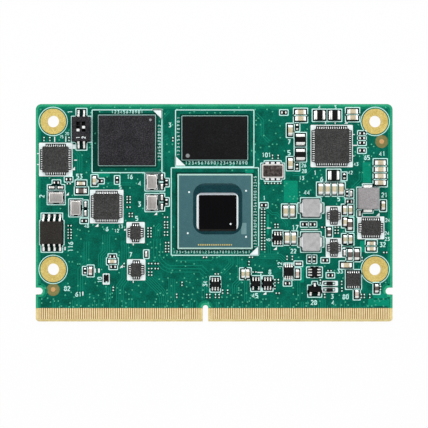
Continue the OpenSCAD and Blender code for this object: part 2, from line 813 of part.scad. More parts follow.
// Sealing fillet round the die, wider on its far side
module processor_underfill() {
    fillet_w = die_w + 2 * underfill_margin;
    fillet_l = die_l + 2 * underfill_margin + underfill_far;
    color([0.1, 0.22, 0.25])
        place([processor_spot])
            translate([die_x, 0, ball_h + processor_t])
                difference() {
                    translate([0, underfill_far / 2, 0])
                        intersection() {
                            leaning_block(fillet_w, fillet_l, underfill_h, underfill_h);
                            round_plate(fillet_w, fillet_l, underfill_h, 3 * underfill_margin);
                        }
                    leaning_block(die_w, die_l, die_h, die_slope);
                }
}

// Bare silicon die with polished sloping sides
module processor_die() {
    color([0.05, 0.05, 0.06])
        place([processor_spot])
            translate([die_x, 0, ball_h + processor_t])
                leaning_block(die_w, die_l, die_h, die_slope);
}

// Solder balls under the processor, a full grid
module processor_solder_balls() {
    full = [for (i = [1 : processor_balls]) [for (j = [1 : processor_balls]) true]];
    color([0.75, 0.76, 0.77])
        place([processor_spot])
            ball_grid(processor_balls, processor_balls, processor_pitch, processor_pitch, full);
}

// Working memory package
module memory_package() {
    color([0.1, 0.1, 0.1])
        place([memory_spot])
            translate([0, 0, ball_h])
                block(memory_w, memory_l, memory_t);
}

// Solder balls under the memory, in four banks round an empty cross
module memory_solder_balls() {
    mid_w = (memory_balls_w - 1) / 2;
    mid_l = (memory_balls_l - 1) / 2;
    banks = [
        for (i = [0 : memory_balls_w - 1]) [
            for (j = [0 : memory_balls_l - 1])
                abs(i - mid_w) > 1 && abs(j - mid_l) > 1
        ]
    ];
    color([0.75, 0.76, 0.77])
        place([memory_spot])
            ball_grid(memory_balls_w, memory_balls_l, memory_pitch_w, memory_pitch_l, banks);
}

// Storage package
module storage_package() {
    color([0.2, 0.19, 0.2])
        place([storage_spot])
            translate([0, 0, ball_h])
                block(storage_w, storage_l, storage_t);
}

// Solder balls under the storage chip: three outer rings and one inner ring
module storage_solder_balls() {
    mid = (storage_balls - 1) / 2;
    rings = [
        for (i = [0 : storage_balls - 1]) [
            for (j = [0 : storage_balls - 1])
                let (ring = mid - max(abs(i - mid), abs(j - mid)))
                    ring < 3 || ring == 4
        ]
    ];
    color([0.75, 0.76, 0.77])
        place([storage_spot])
            ball_grid(storage_balls, storage_balls, storage_pitch, storage_pitch, rings);
}

// Power manager, a leadless chip
module power_manager_package() {
    color([0.22, 0.22, 0.22])
        place([power_manager_spot])
            leadless_body(power_manager_w, power_manager_w);
}

// Solder lands of the power manager
module power_manager_lands() {
    color([0.8, 0.8, 0.8])
        place([power_manager_spot])
            leadless_lands(
                power_manager_w, power_manager_w, [power_manager_n, power_manager_n], leadless_pitch
            );
}

// Hub controller, a leadless chip
module hub_package() {
    color([0.22, 0.21, 0.21])
        place([hub_spot])
            leadless_body(hub_w, hub_w);
}

// Solder lands of the hub controller
module hub_lands() {
    color([0.8, 0.8, 0.8])
        place([hub_spot])
            leadless_lands(hub_w, hub_w, [hub_n, hub_n], leadless_pitch);
}

// Network transceiver, a leadless chip
module network_package() {
    color([0.2, 0.2, 0.21])
        place([network_spot])
            leadless_body(network_w, network_w);
}

// Solder lands of the network transceiver
module network_lands() {
    color([0.8, 0.8, 0.8])
        place([network_spot])
            leadless_lands(network_w, network_w, [network_n, network_n], network_pitch);
}

// Boot memory, a moulded body with two rows of leads
module boot_flash_body() {
    color([0.15, 0.13, 0.12])
        place([flash_spot])
            moulded_body(flash_w, flash_l, flash_t);
}

// Bent leads of the boot memory
module boot_flash_leads() {
    color([0.85, 0.85, 0.83])
        place([flash_spot])
            for (turn = [0, 180])
                rotate(turn)
                    lead_row(flash_n, flash_pitch, wide_lead_w, flash_l, flash_t, flash_reach);
}

// Sets its children at the two sliders' tracks
module at_tracks() {
    place([switch_spot])
        for (side = [-1, 1])
            translate([side * switch_pitch / 2, knob_y, 0])
                children();
}

// Switch housing, open below, with a window for each knob and a contact port beyond it
module switch_housing() {
    color([0.22, 0.21, 0.21])
        difference() {
            place([switch_spot])
                translate([0, 0, switch_base_h])
                    block(switch_w, switch_l, switch_h - switch_base_h);
            at_tracks() {
                translate([0, 0, switch_base_h - slider_clear])
                    block(cavity_w, cavity_l, cavity_h + slider_clear);
                translate([0, 0, switch_base_h])
                    block(knob_w + 2 * slider_clear, window_l, switch_h);
                translate([0, (window_l + port_l) / 2 + port_bar, switch_base_h - slider_clear])
                    block(knob_w + 2 * slider_clear, port_l, switch_h);
            }
        }
}

// Outline of a switch terminal: tongue in the base, then the bent lead outside, along +Y
module terminal_outline() {
    top = switch_base_h;
    wall = switch_l / 2;
    knee = terminal_reach * knee_share;
    foot = terminal_reach * foot_share;
    polygon([
        [wall - terminal_in, top], [wall + knee, top], [wall + foot, lead_t], [wall + terminal_reach, lead_t],
        [wall + terminal_reach, 0], [wall + foot - lead_t, 0], [wall + knee - lead_t, top - lead_t],
        [wall - terminal_in, top - lead_t]
    ]);
}

// The four switch terminals, two on each end of the switch
module terminal_set() {
    for (turn = [0, 180])
        rotate(turn)
            for (side = [-1, 1])
                translate([side * switch_pitch / 2, 0, 0])
                    rotate([90, 0, 90])
                        linear_extrude(wide_lead_w, center = true)
                            terminal_outline();
}

// Switch base, with a groove for each terminal's tongue
module switch_base() {
    color([0.16, 0.15, 0.15])
        place([switch_spot])
            difference() {
                block(switch_w, switch_l, switch_base_h);
                for (turn = [0, 180])
                    rotate(turn)
                        for (side = [-1, 1])
                            translate([
                                side * switch_pitch / 2 - wide_lead_w / 2,
                                switch_l / 2 - terminal_in,
                                switch_base_h - lead_t
                            ])
                                cube([wide_lead_w, terminal_in + over, lead_t + over]);
            }
}

// Bent terminals of the switch
module switch_terminals() {
    color([0.85, 0.85, 0.83])
        place([switch_spot])
            terminal_set();
}

// Switch slider: a carriage under the housing's roof and a knob in its window
module slider(side, throw) {
    x = side * switch_pitch / 2;
    y = knob_y + throw * slider_travel / 2;
    z = switch_base_h + slider_clear;
    color([0.93, 0.93, 0.92])
        place([switch_spot])
            translate([x, y, z])
                union() {
                    block(carriage_w, carriage_l, carriage_h);
                    block(knob_w, knob_l, switch_h - knob_recess - z);
                }
}

// Left slider, in its near position
module switch_slider_left() {
    slider(-1, -1);
}

// Right slider, in its far position
module switch_slider_right() {
    slider(1, 1);
}

// Ceramic bases of the crystals
module crystal_bases() {
    color([0.3, 0.27, 0.24])
        place(crystal_spots)
            ceramic_base(crystal_w, crystal_l);
}

// Metal lids of the crystals
module crystal_lids() {
    color([0.78, 0.75, 0.73])
        place(crystal_spots)
            ceramic_lid(crystal_w, crystal_l, lid_margin);
}

// Ceramic base of the oscillator
module oscillator_base() {
    color([0.75, 0.72, 0.7])
        place([oscillator_spot])
            ceramic_base(oscillator_w, oscillator_l);
}

// Metal lid of the oscillator
module oscillator_lid() {
    color([0.35, 0.3, 0.28])
        place([oscillator_spot])
            ceramic_lid(oscillator_w, oscillator_l, oscillator_lid_margin);
}

// Solder lands of the crystals, one at each corner, and of the oscillator, three on each long side
module crystal_lands() {
    corner_x = (crystal_w - crystal_land_l) / 2 + crystal_land_out;
    corner_y = (crystal_l - crystal_land_w) / 2 + crystal_land_out;
    color([0.8, 0.8, 0.8])
        union() {
            place(crystal_spots)
                for (x = [-corner_x, corner_x], y = [-corner_y, corner_y])
                    translate([x, y, 0])
                        block(crystal_land_l, crystal_land_w, land_t);
            place([oscillator_spot])
                for (turn = [0, 180])
                    rotate(turn)
                        for (i = [-1 : 1])
                            translate([i * oscillator_pitch, oscillator_l / 2, 0])
                                block(oscillator_land_w, 2 * land_out, land_t);
        }
}

// Regulator coils: pressed bodies that bulge over their terminals and step in at the corners
module coil_bodies() {
    color([0.75, 0.7, 0.7])
        place(coil_spots)
            translate([0, 0, strip_t])
                linear_extrude(coil_h)
                    polygon(four_quarters([
                        [coil_w / 2, strip_w / 2],
                        [coil_w / 2 - coil_step, strip_w / 2 + coil_step],
                        [coil_w / 2 - coil_step, coil_l / 2 - coil_chamfer],
                        [coil_w / 2 - coil_step - coil_chamfer, coil_l / 2]
                    ]));
}

// Terminal strips of the regulator coils
module coil_terminals() {
    color([0.85, 0.85, 0.83])
        place(coil_spots)
            for (turn = [90, 270])
                rotate(turn)
                    coil_strip(coil_w, clip_t, 2 * strip_fillet);
}

// Input coil: a pressed body with chamfered upright edges
module input_coil_body() {
    color([0.6, 0.58, 0.58])
        place([input_coil_spot])
            translate([0, 0, strip_t])
                linear_extrude(input_coil_h)
                    polygon(four_quarters([
                        [input_coil_w / 2, input_coil_l / 2 - coil_chamfer],
                        [input_coil_w / 2 - coil_chamfer, input_coil_l / 2]
                    ]));
}

// Terminal strips of the input coil, with wide solder toes
module input_coil_terminals() {
    color([0.85, 0.85, 0.83])
        place([input_coil_spot])
            for (turn = [0, 180])
                rotate(turn)
                    coil_strip(input_coil_l, strip_t, strip_toe);
}

// Level shifters, leadless chips
module shifter_packages() {
    color([0.2, 0.19, 0.2])
        place(shifter_spots)
            leadless_body(shifter_w, shifter_l);
}

// Solder lands of the level shifters
module shifter_lands() {
    color([0.8, 0.8, 0.8])
        place(shifter_spots)
            leadless_lands(shifter_w, shifter_l, shifter_n, leadless_pitch);
}

// Point-of-load regulators, leadless chips
module regulator_packages() {
    color([0.2, 0.19, 0.2])
        place(regulator_spots)
            leadless_body(regulator_w, regulator_l);
}

// Solder lands of the point-of-load regulators
module regulator_lands() {
    color([0.8, 0.8, 0.8])
        place(regulator_spots)
            leadless_lands(regulator_w, regulator_l, regulator_n, leadless_pitch);
}

// Main converter, a leadless chip
module converter_package() {
    color([0.2, 0.19, 0.19])
        place([converter_spot])
            leadless_body(converter_w, converter_l);
}

// Solder lands of the main converter
module converter_lands() {
    color([0.8, 0.8, 0.8])
        place([converter_spot])
            leadless_lands(converter_w, converter_l, converter_n, leadless_pitch);
}

// Supervisor chip, a small moulded body
module supervisor_body() {
    color([0.1, 0.1, 0.1])
        place([supervisor_spot])
            moulded_body(supervisor_w, supervisor_l, small_body_t);
}

// Bent leads of the supervisor chip
module supervisor_leads() {
    color([0.85, 0.85, 0.83])
        place([supervisor_spot])
            for (turn = [0, 180])
                rotate(turn)
                    lead_row(
                        supervisor_n, supervisor_pitch, small_lead_w, supervisor_l, small_body_t, small_reach
                    );
}

// Load switch, a leadless chip
module load_switch_package() {
    color([0.2, 0.18, 0.18])
        place([load_switch_spot])
            leadless_body(load_switch_w, load_switch_l);
}

// Solder lands of the load switch
module load_switch_lands() {
    color([0.8, 0.8, 0.8])
        place([load_switch_spot])
            leadless_lands(load_switch_w, load_switch_l, load_switch_n, leadless_pitch);
}

// Logic gates, small moulded bodies
module gate_bodies() {
    color([0.13, 0.12, 0.12])
        place(gate_spots)
            moulded_body(gate_w, gate_l, small_body_t);
}

// Bent leads of the logic gates: three on each side, or two on the near side of the five-lead ones
module gate_leads() {
    color([0.85, 0.85, 0.83])
        union() {
            place(gate_spots)
                lead_row(gate_n, gate_pitch, small_lead_w, gate_l, small_body_t, small_reach);
            place(six_lead_spots)
                rotate(180)
                    lead_row(gate_n, gate_pitch, small_lead_w, gate_l, small_body_t, small_reach);
            place(five_lead_spots)
                rotate(180)
                    lead_row(2, 2 * gate_pitch, small_lead_w, gate_l, small_body_t, small_reach);
        }
}

// Transistor, a small moulded body
module transistor_body() {
    color([0.17, 0.16, 0.16])
        place([transistor_spot])
            moulded_body(transistor_w, transistor_l, small_body_t);
}

// Bent leads of the transistor: one on the far side and two on the near side
module transistor_leads() {
    color([0.85, 0.85, 0.83])
        place([transistor_spot]) {
            lead_row(1, transistor_pitch, wide_lead_w, transistor_l, small_body_t, small_reach);
            rotate(180)
                lead_row(2, transistor_pitch, wide_lead_w, transistor_l, small_body_t, small_reach);
        }
}

// Bodies of the diodes
module diode_bodies() {
    color([0.13, 0.13, 0.13])
        place(diode_spots)
            chip_core(diode_l, diode_w, diode_h);
}

// Terminals of the diodes
module diode_terminals() {
    color([0.85, 0.85, 0.83])
        place(diode_spots)
            chip_caps(diode_l, diode_w, diode_h);
}

// Bodies of the ferrite chokes
module ferrite_bodies() {
    color([0.15, 0.14, 0.14])
        place(ferrite_spots)
            chip_core(ferrite_l, ferrite_w, ferrite_h);
}

// End caps of the ferrite chokes
module ferrite_terminals() {
    color([0.9, 0.9, 0.88])
        place(ferrite_spots)
            chip_caps(ferrite_l, ferrite_w, ferrite_h);
}

// Ceramic bodies of the bulk and decoupling capacitors
module capacitor_bodies() {
    color([0.76, 0.68, 0.55])
        union() {
            place(bulk_spots)
                chip_core(bulk_l, bulk_w, bulk_h);
            place(chip_spots)
                chip_core(chip_l, chip_w, chip_h);
        }
}

// End caps of the bulk and decoupling capacitors
module capacitor_terminals() {
    color([0.9, 0.9, 0.88])
        union() {
            place(bulk_spots)
                chip_caps(bulk_l, bulk_w, bulk_h);
            place(chip_spots)
                chip_caps(chip_l, chip_w, chip_h);
        }
}

// Bodies of the resistors
module resistor_bodies() {
    color([0.08, 0.08, 0.09])
        place(resistor_spots)
            chip_core(small_l, small_w, resistor_h);
}

// Pale ceramic bodies of the load capacitors
module load_capacitor_bodies() {
    color([0.8, 0.78, 0.74])
        place(load_cap_spots)
            chip_core(small_l, small_w, load_cap_h);
}

// End caps of the resistors and load capacitors
module small_terminals() {
    color([0.9, 0.9, 0.88])
        union() {
            place(resistor_spots)
                chip_caps(small_l, small_w, resistor_h);
            place(load_cap_spots)
                chip_caps(small_l, small_w, load_cap_h);
        }
}

// Bodies of the miniature chip parts
module miniature_bodies() {
    color([0.2, 0.18, 0.16])
        place(tiny_spots)
            chip_core(tiny_l, tiny_w, tiny_h);
}

// End caps of the miniature chip parts
module miniature_terminals() {
    color([0.9, 0.9, 0.88])
        place(tiny_spots)
            chip_caps(tiny_l, tiny_w, tiny_h, tiny_toe_share);
}

circuit_board();
hole_plating();
edge_contacts_upper();
edge_contacts_lower();
fiducials();
processor_substrate();
processor_underfill();
processor_die();
processor_solder_balls();
memory_package();
memory_solder_balls();
storage_package();
storage_solder_balls();
power_manager_package();
power_manager_lands();
hub_package();
hub_lands();
network_package();
network_lands();
boot_flash_body();
boot_flash_leads();
switch_housing();
switch_base();
switch_terminals();
switch_slider_left();
switch_slider_right();
crystal_bases();
crystal_lids();
oscillator_base();
oscillator_lid();
crystal_lands();
coil_bodies();
coil_terminals();
input_coil_body();
input_coil_terminals();
shifter_packages();
shifter_lands();
regulator_packages();
regulator_lands();
converter_package();
converter_lands();
supervisor_body();
supervisor_leads();
load_switch_package();
load_switch_lands();
gate_bodies();
gate_leads();
transistor_body();
transistor_leads();
diode_bodies();
diode_terminals();
ferrite_bodies();
ferrite_terminals();
capacitor_bodies();
capacitor_terminals();
resistor_bodies();
load_capacitor_bodies();
small_terminals();
miniature_bodies();
miniature_terminals();
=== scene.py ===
"""Looks of a card-edge compute module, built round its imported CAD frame.

Lengths and places are in millimetres until a mesh is made. X runs along the card edge, Y away from it and Z
out of the parts side, as in the frame.
"""

import math

import bmesh
import bpy
import numpy as np
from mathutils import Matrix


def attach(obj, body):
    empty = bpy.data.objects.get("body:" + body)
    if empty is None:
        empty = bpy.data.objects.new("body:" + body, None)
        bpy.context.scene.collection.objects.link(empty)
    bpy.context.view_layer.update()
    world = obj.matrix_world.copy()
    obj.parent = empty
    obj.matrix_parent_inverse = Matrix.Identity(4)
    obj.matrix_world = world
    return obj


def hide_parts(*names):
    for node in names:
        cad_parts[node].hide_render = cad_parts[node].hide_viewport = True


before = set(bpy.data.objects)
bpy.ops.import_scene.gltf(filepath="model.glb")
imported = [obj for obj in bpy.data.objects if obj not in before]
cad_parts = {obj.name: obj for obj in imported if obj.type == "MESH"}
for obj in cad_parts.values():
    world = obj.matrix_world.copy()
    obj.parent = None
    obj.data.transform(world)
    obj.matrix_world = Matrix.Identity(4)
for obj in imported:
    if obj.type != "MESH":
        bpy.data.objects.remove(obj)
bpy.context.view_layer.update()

MM = 0.001
MICRONS = 1000  # in a millimetre
LARGEST_ROUND = 0.98  # of half a side
LEAST_ROUND = 0.02
GENTLE = math.radians(38)  # edges that turn less than this are shaded smooth
SPIKE_LIMIT = 0.6  # keeps the mitres of sharp bends short


def seen(red, green, blue):
    """Linear colour of a colour as it is seen, each part from 0 to 255."""
    share = np.array([red, green, blue]) / 255
    line = np.where(share <= 0.04045, share / 12.92, ((share + 0.055) / 1.055) ** 2.4)
    return (*line.tolist(), 1.0)


def group_boxes(boxes, group):
    """Boxes (lowest and highest corner) round all the boxes of each group."""
    made = np.full((group.max() + 1, 2, 3), np.inf) * [[1], [-1]]
    np.minimum.at(made[:, 0], group, boxes[:, 0])
    np.maximum.at(made[:, 1], group, boxes[:, 1])
    return made


def solid_boxes(mesh):
    """Boxes of a CAD mesh's separate solids. Equal corners count as one, each triangle spreads the lowest
    label of its three corners until nothing changes, and each label gives one box."""
    place = np.empty(len(mesh.vertices) * 3, np.float32)
    mesh.vertices.foreach_get("co", place)
    corner = np.empty(len(mesh.loops), np.int32)
    mesh.loops.foreach_get("vertex_index", corner)
    place = np.round(place.reshape(-1, 3).astype(float) / MM * MICRONS).astype(np.int64)
    key, same = np.unique(place, axis=0, return_inverse=True)
    triangles = same.reshape(-1)[corner.reshape(-1, 3)]
    label = np.arange(len(key))
    while True:
        spread = label.copy()
        np.minimum.at(spread, triangles, label[triangles].min(1)[:, None])
        spread = spread[spread]
        if (spread == label).all():
            break
        label = spread
    return group_boxes(np.stack([key, key], 1) / MICRONS, np.unique(label, return_inverse=True)[1])


SOLIDS = {node: solid_boxes(made.data) for node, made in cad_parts.items()}

# The board's own levels and lengths
board_low, board_high = SOLIDS["circuit_board"][0]
TOP, UNDER = board_high[2], board_low[2]
CONTACTS = SOLIDS["edge_contacts_upper"]
CONTACTS_END = np.abs(CONTACTS[:, :, 0]).max() + 0.08
MASK_END = CONTACTS[:, 1, 1].max()
BEVEL_Y = CONTACTS[:, 0, 1].min()
MASK_T = TOP - CONTACTS[:, 0, 2].min()
LAYER_T, LAYER_SHARE = 0.2, 0.06
HOLES = SOLIDS["hole_plating"]
HOLE_SPOTS = HOLES.mean(1)[:, :2]
RING_R = (HOLES[0, 1, 0] - HOLES[0, 0, 0]) / 2
FIDUCIALS = SOLIDS["fiducials"].mean(1)[:, :2]
WINDOW_R = 1.5

RIM_W = 0.55
NOTCH_R = 0.8
NOTCH_IN = 1.6
NOTCH_Y = -18.0
FAR_CORNER = 1.3
KEY_X = -2.0
KEY_W = 1.24
KEY_TOP = -21.2
LINE_W = 0.22
MASK_GAP = 0.02


def loft_faces(start, copies, stations, around, ring):
    """Faces of a batch of lofts, their corners counted from the start: each corner joins the next one round
    its loop and the same two at the next station. A ring's last station joins its first; any other loft
    ends in a flat face below and above."""
    copy, station, corner = np.ogrid[:copies, : stations if ring else stations - 1, :around]
    here = start + (copy * stations + station) * around
    there = start + (copy * stations + (station + 1) % stations) * around
    after = (corner + 1) % around
    sides = np.stack(np.broadcast_arrays(here + corner, here + after, there + after, there + corner), -1)
    faces = sides.reshape(-1, 4).tolist()
    if ring:
        return faces
    floors = start + np.arange(copies)[:, None] * stations * around + np.arange(around)
    roofs = floors + (stations - 1) * around
    return faces + floors[:, ::-1].tolist() + roofs.tolist()


def add_piece(name, finish, slot, lofts, *stands_for, rings=()):
    """One piece of the module from batches of lofts and of rings, shaped (copies, stations, around, 3)."""
    corners, faces, start = [], [], 0
    for batch, ring in [(b, False) for b in lofts] + [(b, True) for b in rings]:
        faces += loft_faces(start, *batch.shape[:3], ring)
        corners.append(batch.reshape(-1, 3))
        start += len(corners[-1])
    mesh = bpy.data.meshes.new(name)
    mesh.from_pydata((np.concatenate(corners) * MM).tolist(), [], faces)
    settle(name, mesh, finish, "module", stands_for)


def settle(name, mesh, finish, body, stands_for):
    """Makes a mesh a piece, smooth over its gentle edges: it has its finish, rides on its body and hides
    the CAD nodes that it stands for."""
    mesh.shade_smooth()
    mesh.set_sharp_from_angle(angle=GENTLE)
    mesh.materials.append(finish)
    made = bpy.data.objects.new(name, mesh)
    bpy.context.scene.collection.objects.link(made)
    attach(made, body)
    if stands_for:
        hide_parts(*stands_for)
    return made


def add_softened(node, finish, width, body="module"):
    """A CAD node with its loose triangles joined, flat faces made whole and sharp edges rounded off."""
    name = node + "_softened"
    shape = bmesh.new()
    shape.from_mesh(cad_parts[node].data)
    bmesh.ops.remove_doubles(shape, verts=shape.verts, dist=1e-7)
    bmesh.ops.dissolve_limit(shape, angle_limit=0.01, verts=shape.verts, edges=shape.edges)
    mesh = bpy.data.meshes.new(name)
    shape.to_mesh(mesh)
    shape.free()
    made = settle(name, mesh, finish, body, (node,))
    round_off = made.modifiers.new("round_off", "BEVEL")
    round_off.width = width * MM
    round_off.segments = 2
    round_off.limit_method = "ANGLE"


def rounded_loop(half_x, half_y, radius, steps):
    """Rounded rectangles, counter-clockwise: each corner is a quarter turn of so many steps about a point
    that lies the radius inside both sides. The sizes may be arrays; the loop and its two coordinates come
    last."""
    half_x, half_y, radius = (a[..., None] for a in np.broadcast_arrays(half_x, half_y, radius))
    radius = np.minimum(radius, np.minimum(half_x, half_y) * LARGEST_ROUND)
    turn = (np.pi / 2 * (np.arange(4)[:, None] + np.linspace(0, 1, steps))).ravel()
    x = np.repeat([1, -1, -1, 1], steps) * (half_x - radius) + radius * np.cos(turn)
    y = np.repeat([1, 1, -1, -1], steps) * (half_y - radius) + radius * np.sin(turn)
    return np.stack([x, y], -1)


def lay(plan, level):
    """Plan points and their heights as points in space."""
    return np.concatenate([plan, np.broadcast_to(level, plan.shape[:-1])[..., None]], -1)


def round_blocks(boxes, profile, corner, steps):
    """Blocks with rounded plans: at each (inset, share, lift) of the profile lies the box's plan less the
    inset, at that share of the box's height plus the lift."""
    boxes = np.asarray(boxes, float).reshape(-1, 2, 3)
    inset, share, lift = np.array(profile, float).T
    half = (boxes[:, 1] - boxes[:, 0]) / 2
    corner = np.maximum(corner - inset, LEAST_ROUND)
    loop = rounded_loop(half[:, None, 0] - inset, half[:, None, 1] - inset, corner, steps)
    level = boxes[:, :1, 2] + share * 2 * half[:, 2:] + lift
    return lay(loop + boxes.mean(1)[:, None, None, :2], level[..., None])


def soft_blocks(boxes, edge, corner, steps=4, points=3):
    """Blocks with rounded plans whose lower and upper edges are quarter turns of the edge's radius, each
    through so many points."""
    turn = np.linspace(0, np.pi / 2, points)
    lower = np.stack([edge * (1 - np.sin(turn)), 0 * turn, edge * (1 - np.cos(turn))], -1)
    upper = np.stack([edge * (1 - np.cos(turn)), 0 * turn + 1, -edge * (1 - np.sin(turn))], -1)
    return round_blocks(boxes, np.concatenate([lower, upper]), corner, steps)


def unit_circle(sides):
    """Points of a circle of radius one, counter-clockwise."""
    turn = 2 * np.pi * np.arange(sides) / sides
    return np.stack([np.cos(turn), np.sin(turn)], -1)


def round_posts(spots, profile, sides):
    """Turned shapes about upright axes at the spots: a circle of each (radius, height) of the profile."""
    spots = np.asarray(spots, float).reshape(-1, 2)
    radius, height = np.array(profile, float).T
    plan = spots[:, None, None] + radius[:, None, None] * unit_circle(sides)
    return lay(plan, height[:, None])


def mitres(path, ring):
    """Sideways steps to the left at each point of the paths (copies, points, 2): the sum of the unit
    normals of the stretches before and after, stretched so that a parallel path keeps its distance, but not
    into spikes."""
    ahead = np.roll(path, -1, 1) - path
    behind = path - np.roll(path, 1, 1)
    if not ring:
        ahead[:, -1] = behind[:, -1]
        behind[:, 0] = ahead[:, 0]
    stretches = np.stack([ahead, behind])
    left = np.stack([-stretches[..., 1], stretches[..., 0]], -1)
    left /= np.linalg.norm(stretches, axis=-1, keepdims=True)
    return left.sum(0) / np.maximum(1 + left.prod(0).sum(-1, keepdims=True), SPIKE_LIMIT)


def ribbons(path, width, floor, roof, ring=False):
    """Flat strips carried along the paths (copies, points, 2): a rectangle from floor to roof whose edges lie
    half the width to either side of each point, along the mitre there."""
    path = np.asarray(path, float)
    path = path[None] if path.ndim == 2 else path
    side = mitres(path, ring) * width / 2
    left, right = path + side, path - side
    return np.stack([lay(left, floor), lay(left, roof), lay(right, roof), lay(right, floor)], 2)


def bundle(points, count, pitch):
    """Parallel paths beside one path, each a further pitch to its left."""
    path = np.asarray(points, float)[None]
    return path + mitres(path, False) * (np.arange(count) * pitch)[:, None, None]


def facing(boxes, owners):
    """For each box the quarter turn in which it lies from its nearest owner (0 right, 1 far, 2 left, 3
    near), the owner's number, and how far out it lies in halves of the owner's size."""
    offset = boxes.mean(1)[:, None, :2] - owners.mean(1)[:, :2]
    near = np.linalg.norm(offset, axis=-1).argmin(1)
    offset = offset[np.arange(len(boxes)), near] / ((owners[:, 1] - owners[:, 0])[near, :2] / 2)
    sideways = np.abs(offset[:, 0]) > np.abs(offset[:, 1])
    quarter = np.where(sideways, np.where(offset[:, 0] > 0, 0, 2), np.where(offset[:, 1] > 0, 1, 3))
    return quarter, near, np.abs(offset).max(1)


def outward(quarter):
    """Unit steps outward and across for quarter turns."""
    turn = quarter * np.pi / 2
    out = np.stack([np.cos(turn), np.sin(turn)], -1)
    return out, np.stack([-out[:, 1], out[:, 0]], -1)


def turned(local, quarter, foot):
    """Points (outward, across, up) turned by their quarter turns and set on the foot points."""
    out, across = (v[:, None, None] for v in outward(quarter))
    plan = foot[:, None, None, :2] + local[..., :1] * out + local[..., 1:2] * across
    return lay(plan, local[..., 2] + foot[:, 2, None, None])


def own_sizes(boxes, quarter):
    """Reach outward, width across, height and inner foot point of each box, seen from its owner."""
    size = boxes[:, 1] - boxes[:, 0]
    swap = quarter % 2 == 1
    reach = np.where(swap, size[:, 1], size[:, 0])
    width = np.where(swap, size[:, 0], size[:, 1])
    foot = boxes.mean(1)
    foot[:, :2] -= outward(quarter)[0] * reach[:, None] / 2
    foot[:, 2] = boxes[:, 0, 2]
    return reach, width, size[:, 2], foot


def bars(quarter, foot, out, width, height, corner):
    """Bars carried outward: at each station, an upright rounded rectangle of its width and height stands on
    the foot's level. out, width and height are arrays of (copies, stations)."""
    loop = rounded_loop(width / 2, height / 2, corner, 2)
    loop[..., 1] += (height / 2)[..., None]
    out = np.broadcast_to(out[..., None, None], loop.shape[:-1] + (1,))
    return turned(np.concatenate([out, loop], -1), quarter, foot)


# Stations of the end caps: share of the reach, of the height and of the width
CAP_STATIONS = np.array([
    (0.0, 1.0, 1.0), (0.5, 1.0, 1.0), (0.6, 0.96, 0.98), (0.645, 0.84, 0.95), (0.66, 0.45, 0.98),
    (0.7, 0.22, 1.0), (0.95, 0.16, 1.0), (1.0, 0.04, 0.95),
])
TINY_STATIONS = np.array([
    (0.0, 1.0, 1.0), (0.3, 1.0, 1.0), (0.36, 0.92, 0.98), (0.39, 0.45, 1.02), (0.45, 0.3, 1.1),
    (0.92, 0.24, 1.1), (1.0, 0.08, 1.0),
])
TAB_STATIONS = np.array([
    (0.4, 0.5, 0.42), (0.5, 0.28, 0.42), (0.6, 0.2, 0.42), (1.5, 0.17, 0.42), (1.58, 0.05, 0.4),
])
CAP_ROUND = 0.09  # of the height


def end_caps(boxes, owners, stations):
    """Metal ends of chip parts: a rounded cap or tab, then a steep fall to a low, nearly flat solder toe."""
    quarter = facing(boxes, owners)[0]
    reach, width, height, foot = own_sizes(boxes, quarter)
    reach, width, height = reach[:, None], width[:, None], height[:, None]
    out, rise, broad = stations.T[:, None, :]
    return bars(quarter, foot, reach * out, width * broad, height * rise, CAP_ROUND * height)


LEAD_T, LEAD_ROUND = 0.15, 0.035
LEAD_SHARES = np.array([0.0, 0.2, 0.28, 0.34, 0.39, 0.44, 0.5, 0.58, 1.0])
FALL_START, FALL_SPAN = 0.24, 0.28  # of a lead's reach


def bent_leads(boxes, owners):
    """Gull-wing leads: a flat strip that leaves its body level, falls in a smooth double bend along the
    fall's span of its reach, and ends in a flat foot."""
    quarter = facing(boxes, owners)[0]
    reach, width, height, foot = own_sizes(boxes, quarter)
    fall = np.clip((LEAD_SHARES - FALL_START) / FALL_SPAN, 0, 1)
    fall = 1 - fall * fall * (3 - 2 * fall)
    out = reach[:, None] * LEAD_SHARES
    up = LEAD_T / 2 + (height - LEAD_T)[:, None] * fall
    slope = np.stack([np.gradient(out, axis=1), np.gradient(up, axis=1)], -1)
    slope /= np.linalg.norm(slope, axis=-1, keepdims=True)
    loop = rounded_loop(width[:, None] / 2, LEAD_T / 2 + 0 * out, LEAD_ROUND, 2)
    across, thick = loop[..., 0], loop[..., 1]
    out = out[..., None] - slope[..., 1:] * thick
    return turned(np.stack([out, across, up[..., None] + slope[..., :1] * thick], -1), quarter, foot)


FOOT_MIDDLE, FOOT_HALF = 0.8, 0.24  # of a lead's reach
MOUND_H = 0.11
MOUND = [(-0.13, 0, 0), (-0.07, 0, 0.02), (-0.03, 0, 0.05), (0.0, 1, 0)]


def foot_solder(boxes, owners):
    """Solder round the feet of leads: a low mound that spreads in a hollow curve beyond the foot's plan."""
    quarter = facing(boxes, owners)[0]
    reach, width, _, foot = own_sizes(boxes, quarter)
    middle = foot[:, :2] + outward(quarter)[0] * (reach * FOOT_MIDDLE)[:, None]
    half = np.stack([reach * FOOT_HALF, width / 2], -1)
    half = np.where((quarter % 2 == 1)[:, None], half[:, ::-1], half)
    boxes = np.stack([lay(middle - half, foot[:, 2]), lay(middle + half, foot[:, 2] + MOUND_H)], 1)
    return round_blocks(boxes, MOUND, 0.05, 2)


LAND_SHARE, LAND_REACH = 0.82, 0.86  # of the CAD land's width and of its reach beyond the chip
TOE_SHARES = np.array([-0.5, 0.0, 0.1, 0.2, 0.32, 0.92, 1.0])
TOE_END = 0.32  # share at which the hollow rise ends
TOE_LIFT, TOE_RISE, TOE_DROP, TOE_TAPER = 0.02, 0.05, 0.03, 0.1


